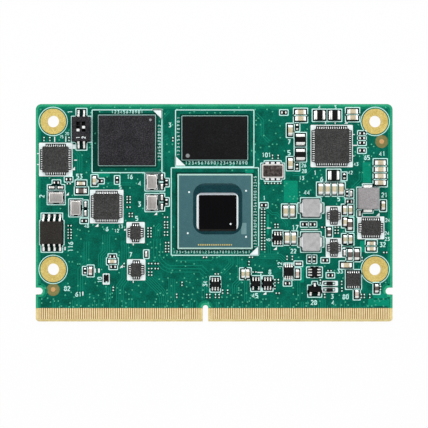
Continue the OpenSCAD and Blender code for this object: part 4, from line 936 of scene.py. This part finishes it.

# Legend: outlines of parts. A white plate lies under each part and a dark clearing on it, partly the mask's
# own opening and partly painted shade round the part, so that what shows of overlapping plates is one outline
# round the whole group
COIL_HALF = 2.26
PAD_HALF = 0.16
TINY_MARGIN = 0.14
OSCILLATOR_REACH = 3
coil_squares = np.stack([coils.mean(1) - COIL_HALF, coils.mean(1) + COIL_HALF], 1)
input_coil, input_terminals = SOLIDS["input_coil_body"], SOLIDS["input_coil_terminals"]
input_toes = chip_boxes(input_coil, input_terminals)
input_toes[0, :, 0] = input_terminals[:, :, 0].min(), input_terminals[:, :, 0].max()
oscillator, lands = SOLIDS["oscillator_base"], SOLIDS["crystal_lands"]
lands = lands[(np.abs(lands.mean(1) - oscillator[0].mean(0))[:, :2] < OSCILLATOR_REACH).all(1)]
outlined += [
    (chip_boxes(*CHIPS["capacitor"]), 0.32), (chip_boxes(*CHIPS["small"]), 0.28),
    (chip_boxes(*CHIPS["ferrite"]), 0.3), (coil_squares, 0.0), (SOLIDS["coil_terminals"], 0.1),
    (input_coil, 0.08), (input_toes, 0.14), (SOLIDS["crystal_bases"], 0.3), (housing, 0.1),
    (lead_rows(SOLIDS["switch_terminals"], housing), 0.3),
    (oscillator, 0.14), (lead_rows(lands, oscillator), 0.16),
    (chip_boxes(SOLIDS["load_switch_package"], SOLIDS["load_switch_lands"]), 0.16),
]
DIODE_FIELDS = [(24.82, -16.78, 28.45, -15.62), (24.82, -18.3, 28.45, -17.12), (-25.62, -16.5, -24.0, -13.94)]
DIODE_CLEARINGS = [
    (25.05, -16.56, 27.8, -15.84), (25.05, -18.08, 27.8, -17.34), (-25.38, -16.0, -24.24, -14.16),
]
fields = np.concatenate([grown(boxes, margin + LINE_W) for boxes, margin in outlined])
blocks = np.concatenate([grown(white_blocks, BLOCK_OUT), as_plans(DIODE_FIELDS)])
tiny_pads = CHIPS["miniature"][1].mean(1)[:, None, :2] + [[-PAD_HALF], [PAD_HALF]]
add_piece("miniature_pads", COOL_TIN, "solder", [slabs(tiny_pads, PAD_ROOF, 0.1)])
clearings = [grown(boxes, margin) for boxes, margin in outlined]
clearings += [land_windows, grown(chip_boxes(*CHIPS["miniature"]), TINY_MARGIN), as_plans(DIODE_CLEARINGS)]
clearings = np.concatenate(clearings)
add_piece("part_clearings_and_shade", CLEARING_AND_SHADE_MASK, "solder_mask", [slabs(clearings, CLEAR_ROOF, 0.12, 3)])

SHARED_LEAST = 0.4
DIVIDER_MORE = 0.3
WIDE_LINES = [(10.62, -18.2, 10.84, -13.95), (18.2, 16.9, 18.42, 18.6)]


def dividers(boxes, margin):
    """Lines half-way between neighbours whose clearings meet: their gap along one axis is over a line's
    width and under both margins, and they lie side by side along the other. A line is as long as both sides
    and a bit more."""
    low, high = boxes[:, 0], boxes[:, 1]
    made = []
    for across, along in ((0, 1), (1, 0)):
        gap = low[None, :, across] - high[:, None, across]
        start = np.maximum(low[:, None, along], low[None, :, along])
        end = np.minimum(high[:, None, along], high[None, :, along])
        meet = (gap > LINE_W) & (gap < margin[:, None] + margin + LINE_W) & (end - start > SHARED_LEAST)
        first, second = np.nonzero(meet)
        line = np.empty((len(first), 2, 2))
        middle = (high[first, across] + low[second, across]) / 2
        line[:, :, across] = middle[:, None] + [-LINE_W / 2, LINE_W / 2]
        line[:, 0, along] = start[meet] - DIVIDER_MORE
        line[:, 1, along] = end[meet] + DIVIDER_MORE
        made.append(line)
    return made


outlined_boxes = np.concatenate([boxes for boxes, _ in outlined])
outline_margins = np.concatenate([np.full(len(boxes), margin) for boxes, margin in outlined])
lines_between = np.concatenate(dividers(outlined_boxes, outline_margins) + [as_plans(WIDE_LINES)])

# Legend: frames of the ball-grid chips, rings of the holes, pin-one triangles and plain numbers
GRID_NODES = ("storage_package", "memory_package", "processor_substrate")
FRAMES = [(-28.06, 9.23, -12.0, 23.66), (-8.88, 10.58, 9.13, 23.64), (-9.87, -9.74, 10.21, 10.36)]
SHADE_STRIP = [(-27.95, 9.4, -26.4, 23.5)]
EDGE_LINE_OUT = 0.08
HOLE_LINE_OUT = 0.33
SHADE_OUT = 0.55
grid_boxes = np.array([SOLIDS[node][0] for node in GRID_NODES])
hole_loops = HOLE_SPOTS[:, None] + (RING_R + HOLE_LINE_OUT) * unit_circle(48)


def frame_loops(plans, corner=0.15):
    """Loops along the sides of plans, with round corners."""
    plans = as_plans(plans)
    half = (plans[:, 1] - plans[:, 0]) / 2
    return rounded_loop(half[:, 0], half[:, 1], corner, 3) + plans.mean(1)[:, None]


TRIANGLES = [  # tip corner x and y, legs along x and y
    (-11.95, 23.85, -2.4, -2.4), (-8.9, 10.85, 2.3, 2.2), (10.25, -9.7, -2.2, 2.1),
    (-32.0, 9.8, -0.7, 0.8), (-26.6, -3.2, -0.8, 0.7), (14.4, -8.5, -0.8, 0.7), (12.0, -18.8, -0.8, 0.7),
    (38.0, -0.7, -0.8, 0.7), (30.7, 20.5, -0.8, 0.7), (-21.0, -12.6, -0.7, 0.7), (-33.4, 4.0, -0.7, 0.7),
    (-13.1, -0.5, -0.7, 0.7),
]
BARS = [  # ticks, bars and corner marks
    (-32.5, 14.7, -31.9, 15.7), (-34.4, -8.6, -34.15, -7.8), (-30.3, -19.0, -30.05, -18.1),
    (-27.45, -13.75, -27.2, -12.8), (-26.65, -13.75, -26.3, -12.8), (-20.7, -4.1, -20.3, -3.7),
    (-36.76, 16.3, -36.54, 17.5), (-34.2, 16.3, -33.98, 17.6), (-40.7, 13.5, -40.1, 13.72),
    (-40.7, 11.0, -40.1, 11.22), (-32.2, 12.0, -31.5, 12.22), (31.8, 17.9, 32.3, 18.1),
    (31.8, 15.4, 33.0, 15.62), (31.8, 12.95, 32.2, 13.15), (25.5, 20.4, 25.7, 20.9), (27.7, 20.4, 27.9, 20.9),
    (-18.7, -7.5, -18.5, -7.0), (-18.7, -16.1, -18.5, -15.6), (9.9, -13.8, 11.2, -13.58),
    (29.6, -7.55, 32.0, -7.35), (29.6, -8.1, 31.6, -7.9), (19.9, -3.95, 23.9, -3.77),
    (12.1, -3.6, 13.0, -3.4),
]
STROKE_SHARE = 0.22  # of a digit's height
DIGIT_STEP = 0.8  # of a digit's height
STROKES = {  # digits on a grid two wide and four high
    "0": [(0, 0.6), (0.6, 0), (1.4, 0), (2, 0.6), (2, 3.4), (1.4, 4), (0.6, 4), (0, 3.4), (0, 0.6)],
    "1": [(0.4, 3.2), (1.1, 4), (1.1, 0)],
    "2": [(0, 3.3), (0.6, 4), (1.4, 4), (2, 3.3), (2, 2.6), (0, 0), (2, 0)],
    "3": [(0, 4), (2, 4), (1, 2.4), (2, 1.7), (2, 0.6), (1.4, 0), (0, 0)],
    "4": [(1.5, 0), (1.5, 4), (0, 1.2), (2, 1.2)],
    "5": [(2, 4), (0, 4), (0, 2.3), (1.4, 2.3), (2, 1.7), (2, 0.6), (1.4, 0), (0, 0)],
    "6": [
        (1.8, 4), (0.6, 3), (0, 1.6), (0, 0.6), (0.6, 0), (1.4, 0), (2, 0.6), (2, 1.5), (1.4, 2.1), (0, 1.8),
    ],
    "7": [(0, 4), (2, 4), (0.7, 0)],
    "8": [
        (1, 2.1), (0.2, 2.8), (0.2, 3.5), (0.7, 4), (1.3, 4), (1.8, 3.5), (1.8, 2.8), (1, 2.1), (0, 1.3),
        (0, 0.5), (0.6, 0), (1.4, 0), (2, 0.5), (2, 1.3), (1, 2.1),
    ],
    "9": [
        (0.2, 0), (1.4, 1), (2, 2.4), (2, 3.4), (1.4, 4), (0.6, 4), (0, 3.4), (0, 2.5), (0.6, 1.9), (2, 2.2),
    ],
}
NUMBERS = [  # number, middle, height, quarter turns
    ("1", -33.1, 23.2, 1.0, 1), ("20", -33.8, 18.2, 0.6, 0), ("53", -31.0, 8.4, 0.95, 0),
    ("16", -19.4, 8.3, 0.9, 0), ("4", -17.1, 6.8, 1.0, 0), ("3", -17.2, 2.0, 1.0, 0),
    ("2", -39.6, 3.8, 1.0, 1), ("116", -33.0, -7.8, 1.0, 1), ("6", -24.6, -3.7, 0.9, 0),
    ("5", -17.8, -1.3, 0.95, 0), ("7", -19.2, -9.6, 0.95, 0), ("10", -26.3, -15.4, 0.9, 1),
    ("82", -33.8, -17.4, 0.95, 0), ("61", -31.2, -18.7, 0.95, 0), ("5", -21.6, 5.9, 0.8, 0),
    ("1", 11.5, 3.4, 0.9, 0), ("101", 12.0, 13.3, 0.9, 0), ("7", 17.2, 16.3, 1.0, 0),
    ("5", 17.2, 13.8, 1.0, 0), ("4", 24.2, 24.3, 0.8, 0), ("3", 27.8, 24.3, 0.8, 0),
    ("41", 38.6, 13.6, 0.95, 0), ("65", 35.1, 12.7, 0.9, 0), ("21", 39.1, 4.1, 0.95, 0),
    ("32", 38.7, -7.3, 0.95, 0), ("44", 21.3, 4.7, 0.95, 0), ("17", 18.6, -3.4, 1.0, 0),
    ("12", 15.1, -12.0, 0.9, 1), ("8", 12.8, -13.6, 0.95, 0), ("22", 18.2, -8.8, 0.9, 0),
    ("33", 28.9, -13.4, 0.9, 0), ("3", 27.1, -19.2, 0.9, 0), ("4", 27.3, -20.6, 0.9, 0),
    ("80", 30.2, -19.3, 0.95, 0), ("28", 22.9, -20.6, 0.95, 0), ("45", 9.4, -19.0, 0.95, 0),
    ("3", -10.2, 20.2, 0.9, 0), ("26", 20.6, 10.9, 0.75, 0), ("28", 20.7, 9.6, 0.75, 0),
    ("13", 20.1, 8.0, 0.75, 0), ("1", 23.2, 9.2, 0.95, 0), ("6", 24.7, 7.8, 0.95, 0),
    ("43", 32.6, 11.2, 0.7, 0), ("42", 31.3, 9.25, 0.7, 0), ("5", 28.6, 3.2, 0.9, 0),
    ("48", -29.3, -3.0, 0.7, 0), ("13", -21.5, -3.1, 0.7, 0), ("12", -22.4, -4.1, 0.7, 0),
    ("34", -2.1, -16.3, 0.9, 1), ("24", 39.85, -1.7, 0.75, 0), ("24", 39.7, -4.7, 0.75, 0),
    ("23", 39.75, -6.0, 0.75, 0), ("6", 12.4, -6.2, 0.9, 1), ("15", -35.1, 17.5, 0.6, 0),
]
GRID_ROWS = [  # first and last middle, how many, height, quarter turns
    (-23.4, 23.2, -16.6, 23.2, 11, 0.6, 0), (-12.6, 12.2, -12.6, 20.0, 12, 0.6, 1),
    (-8.25, 13.4, -8.25, 21.8, 11, 0.55, 1), (-6.4, 11.5, 7.4, 11.5, 20, 0.65, 0),
    (9.4, -7.8, 9.4, 8.2, 25, 0.55, 1), (-9.2, -9.0, 8.0, -9.0, 27, 0.5, 0),
]


def legend_digits():
    """One row (digit, middle x, middle y, height, quarter turns) for each digit: those of the numbers stand
    a digit's step apart along the number's turned line, those beside the ball-grid chips count on at even
    steps."""
    rows = []
    for text, x, y, height, turn in NUMBERS:
        for place, digit in enumerate(text):
            step = (place - (len(text) - 1) / 2) * DIGIT_STEP * height
            rows.append((digit, x + step * (turn == 0), y + step * (turn == 1), height, turn))
    for x0, y0, x1, y1, count, height, turn in GRID_ROWS:
        for place, share in enumerate(np.linspace(0, 1, count)):
            rows.append((str((place + 1) % 10), x0 + share * (x1 - x0), y0 + share * (y1 - y0), height, turn))
    return rows


def stroke_ribbons(rows, floor, roof):
    """Ribbons along the strokes of all equal digits at once: strokes scaled to the height, turned and
    moved, with a width that is a share of the height."""
    made = []
    for digit, stroke in STROKES.items():
        mine = np.array([row[1:] for row in rows if row[0] == digit], float).reshape(-1, 4)
        path = (np.array(stroke, float) - [1, 2]) * 0.25 * mine[:, 2, None, None]
        turn = mine[:, 3, None] * np.pi / 2
        x = path[..., 0] * np.cos(turn) - path[..., 1] * np.sin(turn) + mine[:, :1]
        y = path[..., 0] * np.sin(turn) + path[..., 1] * np.cos(turn) + mine[:, 1:2]
        width = STROKE_SHARE * mine[:, 2, None, None]
        made.append(ribbons(np.stack([x, y], -1), width, floor, roof))
    return made


def corner_wedges(rows, roof):
    """Right-angled triangles from their corners and the lengths of their two legs, counter-clockwise."""
    x, y, leg_x, leg_y = np.array(rows, float).T
    along, up = np.stack([x + leg_x, y], -1), np.stack([x, y + leg_y], -1)
    swap = (leg_x * leg_y < 0)[:, None]
    loop = np.stack([np.stack([x, y], -1), np.where(swap, up, along), np.where(swap, along, up)], 1)
    return np.stack([lay(loop, INK_FLOOR), lay(loop, roof)], 1)


add_piece(
    "printed_blocks", INK, "white_plastic",
    [slabs(blocks, BLOCK_ROOF, 0.2, 3), slabs(BARS, INK_ROOF, 0.05), corner_wedges(TRIANGLES, INK_ROOF)],
)
package_loops = frame_loops(grown(grid_boxes, EDGE_LINE_OUT))
printed_loops = (  # loops and the width of their line
    (frame_loops(FRAMES), LINE_W), (package_loops[:2], 0.14), (package_loops[2:], 0.15), (hole_loops, 0.17),
)
add_piece(
    "printed_lines", LINE_INK, "white_plastic",
    [slabs(fields, INK_ROOF, 0.2, 3), slabs(lines_between, DIVIDER_ROOF, 0.05)]
    + stroke_ribbons(legend_digits(), INK_FLOOR, DIGIT_ROOF),
    rings=[ribbons(loops, width, INK_FLOOR, INK_ROOF, True) for loops, width in printed_loops],
)
add_piece(
    "package_shade", SHADE_MASK, "solder_mask",
    [slabs(grown(grid_boxes, SHADE_OUT), SHADE_ROOF, 0.3, 3), slabs(SHADE_STRIP, STRIP_ROOF, 0.1)],
)

# Numbers on the switch's roof
SWITCH_INK_T = 0.008
SWITCH_DIGITS = [("1", -31.15, 17.2, 0.75, 1), ("2", -29.85, 17.2, 0.75, 1)]
strokes = stroke_ribbons(SWITCH_DIGITS, switch_top - SINK, switch_top + SWITCH_INK_T)
add_piece("switch_numbers", INK, "white_plastic", strokes)

# Traces under the mask, on both faces
TRACE_W, TAIL_W = 0.17, 0.2
TAIL_PITCH, TAIL_END, TAIL_SHARE = 0.5, 39.0, 0.62
TAIL_LEAST, TAIL_MORE = 0.4, 1.6
KEY_CLEAR = 1.4
BUNDLES = [  # path, how many, pitch
    ([(9.4, 22.6), (10.8, 21.2), (10.8, 17.8), (12.5, 16.1)], 2, 0.5),
    ([(11.9, 0.9), (13.2, -0.4), (14.3, -0.4), (16.4, -2.5), (16.4, -3.2)], 2, 0.45),
    ([(33.3, 9.6), (33.3, 7.6), (31.5, 5.8)], 2, 0.5),
    ([(10.2, -10.4), (15.0, -10.4), (16.0, -11.4)], 3, 0.45),
    ([(5.4, -10.2), (5.4, -15.2), (4.2, -16.4), (4.2, -18.6)], 3, 0.5),
    ([(3.4, -10.2), (3.4, -11.6), (1.6, -13.4)], 3, 0.45),
    ([(-11.7, 16.6), (-10.4, 17.2)], 2, 0.6),
    ([
        (-13.9, -6.0), (-13.9, -10.2), (-13.2, -11.6), (-12.0, -12.9), (-10.6, -13.6), (-3.4, -13.6),
        (-2.4, -14.6),
    ], 3, 0.75),
    ([(-16.4, -15.2), (-13.0, -18.6), (-12.6, -19.4), (-12.6, -20.8)], 5, 0.45),
    ([(-21.2, -6.4), (-21.2, -15.0), (-22.4, -16.6), (-22.4, -20.4)], 4, 0.5),
    ([(0.0, -10.3), (-0.6, -10.9), (-8.6, -10.9)], 1, 0.6),
    ([(-10.4, -15.2), (-10.4, -20.2)], 4, 0.45),
    ([(-29.9, -6.6), (-29.9, -11.4), (-31.3, -12.8), (-31.3, -18.0)], 3, 0.55),
    ([(-25.6, -5.0), (-25.6, -8.6), (-26.6, -9.6), (-26.6, -12.4)], 4, 0.5),
    ([(-24.8, -17.0), (-24.8, -20.6)], 3, 0.5),
    ([(-30.4, 9.4), (-30.4, 13.4), (-31.4, 14.4)], 3, 0.5),
    ([(-28.6, 6.4), (-19.0, 6.4)], 2, 0.5),
    ([(-11.6, 9.3), (-11.6, 21.8), (-10.2, 23.2)], 2, 0.45),
    ([(-12.6, -2.4), (-13.4, -3.2), (-13.4, -5.4)], 3, 0.45),
    ([(10.9, -6.2), (12.4, -7.7), (12.4, -9.4)], 2, 0.5),
    ([(18.0, 8.6), (21.0, 8.6), (22.4, 10.0)], 2, 0.5),
    ([(33.2, -12.2), (33.2, -13.4), (34.2, -14.4), (34.2, -18.0)], 1, 0.5),
    ([(21.5, -11.6), (19.2, -13.9), (19.2, -20.0)], 2, 0.5),
    ([(-2.8, -15.4), (-2.8, -19.8)], 4, 0.55),
    ([(7.4, -15.2), (7.0, -15.6), (7.0, -20.4)], 2, 0.5),
    ([(39.9, -7.6), (39.9, -9.4)], 2, 0.5),
    ([(13.0, 23.8), (18.0, 23.8)], 1, 0.5),
]
tail_rng = np.random.default_rng(7)
tails_x = np.arange(TAIL_PITCH - TAIL_END, TAIL_END, TAIL_PITCH)
tails_x = tails_x[(np.abs(tails_x - KEY_X) > KEY_CLEAR) & (tail_rng.random(len(tails_x)) < TAIL_SHARE)]
tail_ends = MASK_END + TAIL_LEAST + TAIL_MORE * tail_rng.random(len(tails_x))
tail_starts = np.full(len(tails_x), MASK_END - MASK_GAP)
tails = np.stack([np.stack([tails_x, ends], -1) for ends in (tail_starts, tail_ends)], 1)
add_piece(
    "covered_traces", TRACE_MASK, "solder_mask",
    [ribbons(bundle(*row), TRACE_W, *levels) for row in BUNDLES for levels in both_faces(TRACE_LIFT)]
    + [ribbons(tails, TAIL_W, *levels) for levels in both_faces(TRACE_LIFT)],
)

# Vias
VIA_R, VIA_CLEAR = 0.19, 0.3
GRID_CLEAR, HOLE_CLEAR = 0.4, 0.8
VIA_SHAPE = np.array([(1, -SINK), (0.9, 0.022), (0.45, 0.022), (0.3, 0.006)])  # share of the radius, height
VIA_FIELDS = (  # plan, step, share that is kept, seed
    ((-39.6, -18.0, 39.6, 24.2), 1.0, 0.24, 3), ((-39.4, -21.4, 39.4, -18.4), 0.9, 0.38, 5),
)
square_keeps = np.concatenate([fields, blocks, clearings, grown(grid_boxes, GRID_CLEAR)])
square_keeps = grown(square_keeps, VIA_CLEAR)
round_keeps = ((HOLE_SPOTS, RING_R + HOLE_CLEAR), (FIDUCIALS, WINDOW_R + VIA_CLEAR))


def via_spots(plan, step, share, seed):
    """Points of a lattice over a plan, each moved by up to a quarter step and kept by a seeded draw, clear
    of the parts, the holes and the fiducials."""
    draw = np.random.default_rng(seed)
    x, y = np.arange(plan[0], plan[2], step), np.arange(plan[1], plan[3], step)
    spots = np.stack(np.meshgrid(x, y), -1).reshape(-1, 2)
    spots += draw.integers(-1, 2, spots.shape) * step / 4
    kept = draw.random(len(spots)) < share
    spots = spots[kept]
    apart = spots[:, None]
    clear = ~((apart > square_keeps[:, 0]) & (apart < square_keeps[:, 1])).all(-1).any(1)
    for middles, radius in round_keeps:
        clear &= (np.linalg.norm(apart - middles, axis=-1) >= radius).all(1)
    return spots[clear]


vias = np.concatenate([via_spots(*row) for row in VIA_FIELDS])
via_shapes = VIA_SHAPE * [VIA_R, 1] + [0, TOP], VIA_SHAPE[::-1] * [VIA_R, -1] + [0, UNDER]
add_piece("covered_vias", VIA_MASK, "solder_mask", [round_posts(vias, shape, 8) for shape in via_shapes])

# Marks on the chips
MARK_T = 0.012


def flat_dots(rows):
    """Thin discs on chip tops: rows of x, y, radius and the level that they lie on."""
    return [round_posts([(x, y)], [(r, level - SINK), (r, level + MARK_T)], 16) for x, y, r, level in rows]


base_top, die_top = substrate[1, 2], die[1, 2]
px, py = substrate.mean(0)[:2]
SUBSTRATE_DOTS = ((-5.95, 4.45), (-6.25, -4.95), (7.1, 4.75), (7.1, -5.8))
DOT_R = 0.22
DIE_DOT = (3.55, -2.85)
DIE_DOT_R = 0.21
EDGE_W, EDGE_SINK, EDGE_LIFT = 0.22, 0.02, 0.006
FIRST_PAD, PADS, PAD_PITCH = (-3.9, -7.8, -3.62, -7.46), 16, 0.5
PATCH = (6.0, -5.2, 7.2, -2.6)
dots = flat_dots([(px + x, py + y, DOT_R, base_top) for x, y in SUBSTRATE_DOTS])
add_piece("substrate_dots", INK, "white_plastic", dots)
rim_loop = frame_loops(grown(substrate, -EDGE_W / 2), 0.1)
edge_line = ribbons(rim_loop, EDGE_W, base_top - EDGE_SINK, base_top + EDGE_LIFT, True)
add_piece("substrate_rim", EDGE_LAMINATE, "chip_laminate", (), rings=[edge_line])
middle = np.array([px, py, px, py])
pads = FIRST_PAD + middle + PAD_PITCH * np.arange(PADS)[:, None] * [1, 0, 1, 0]
pads = slabs(pads, base_top + MARK_T, 0.05, floor=base_top - SINK)
add_piece("substrate_pads", RING_GOLD, "gold", [pads])
patch = slabs(PATCH + middle, base_top + MARK_T, 0.1, floor=base_top - SINK)
add_piece("substrate_patch", BARE_PATCH, "chip_laminate", [patch])
die_dots = flat_dots([(px + DIE_DOT[0], py + DIE_DOT[1], DIE_DOT_R, die_top)])
add_piece("die_dot", INK, "silicon", die_dots)
for name, node, slot, x, y, radius in (
    ("memory_dot", "memory_package", "mould_black", -6.2, -4.12, 0.46),
    ("storage_dot", "storage_package", "mould_grey", 5.45, 4.65, 0.3),
):
    package = SOLIDS[node][0]
    middle = package.mean(0)
    add_piece(name, PALE_MARK, slot, flat_dots([(middle[0] + x, middle[1] + y, radius, package[1, 2])]))

# Floor, light and camera: the floor, the lamps and their sizes are in metres
VIEW_W = 98.35
VIEW_SHIFT = (-0.04, -0.27)
CAMERA_UP = 300.0
SENSOR = 36.0
FLOOR_HALF, FLOOR_Z = 3, -0.0001
WHITE = (1, 1, 1, 1)


def white_share(tree, share):
    """The share for rays from the camera, in mirrors and through glass, and nought for all others."""
    ray = tree.nodes.new("ShaderNodeLightPath").outputs
    direct = reckon(tree, "MAXIMUM", ray["Is Camera Ray"], ray["Is Glossy Ray"])
    direct = reckon(tree, "MAXIMUM", direct, ray["Is Transmission Ray"])
    return reckon(tree, "MULTIPLY", direct, share)


floor_mesh = bpy.data.meshes.new("floor")
floor_corners = [(x * FLOOR_HALF, y * FLOOR_HALF, FLOOR_Z) for x, y in ((-1, -1), (1, -1), (1, 1), (-1, 1))]
floor_mesh.from_pydata(floor_corners, [], [(0, 1, 2, 3)])
floor = bpy.data.objects.new("floor", floor_mesh)
bpy.context.scene.collection.objects.link(floor)
paper, tree, shader, _ = new_finish("floor_paper", gloss=0.0)
shader.inputs["Base Color"].default_value = (0.88, 0.88, 0.88, 1)
glow = add_node(tree, "Emission", {"Color": WHITE, "Strength": 1.0})
both = add_node(tree, "MixShader", {0: white_share(tree, 0.95), 1: shader.outputs[0], 2: glow})
tree.links.new(both, tree.nodes["Material Output"].inputs["Surface"])
floor.data.materials.append(paper)

world = bpy.data.worlds.new("studio")
bpy.context.scene.world = world
world.use_nodes = True
tree = world.node_tree
soft = add_node(tree, "Background", {"Color": (0.95, 0.98, 1.0, 1), "Strength": 0.55})
white = add_node(tree, "Background", {"Color": WHITE, "Strength": 1.0})
sky = add_node(tree, "MixShader", {0: white_share(tree, 1.0), 1: soft, 2: white})
tree.links.new(sky, tree.nodes["World Output"].inputs["Surface"])

# Square soft lamps that face the board's middle
for name, (x, y, z), size, energy in (
    ("far_lamp", (0.0, 0.42, 0.42), 0.35, 1.3), ("left_lamp", (-0.45, 0.05, 0.36), 0.3, 0.7),
    ("right_lamp", (0.45, 0.05, 0.36), 0.3, 0.6),
):
    light = bpy.data.lights.new(name, "AREA")
    light.size = size
    light.energy = energy
    lamp = bpy.data.objects.new(name, light)
    lamp.location = (x, y, z)
    lamp.rotation_euler = (math.atan2(math.hypot(x, y), z), 0, math.atan2(y, x) + math.pi / 2)
    bpy.context.scene.collection.objects.link(lamp)

lens = bpy.data.cameras.new("above")
lens.sensor_width = SENSOR
lens.lens = SENSOR * CAMERA_UP / VIEW_W
lens.clip_start = 0.01
camera = bpy.data.objects.new("above", lens)
camera.location = (VIEW_SHIFT[0] * MM, VIEW_SHIFT[1] * MM, (TOP + CAMERA_UP) * MM)
bpy.context.scene.collection.objects.link(camera)
bpy.context.scene.camera = camera
bpy.context.scene.view_settings.view_transform = "Standard"
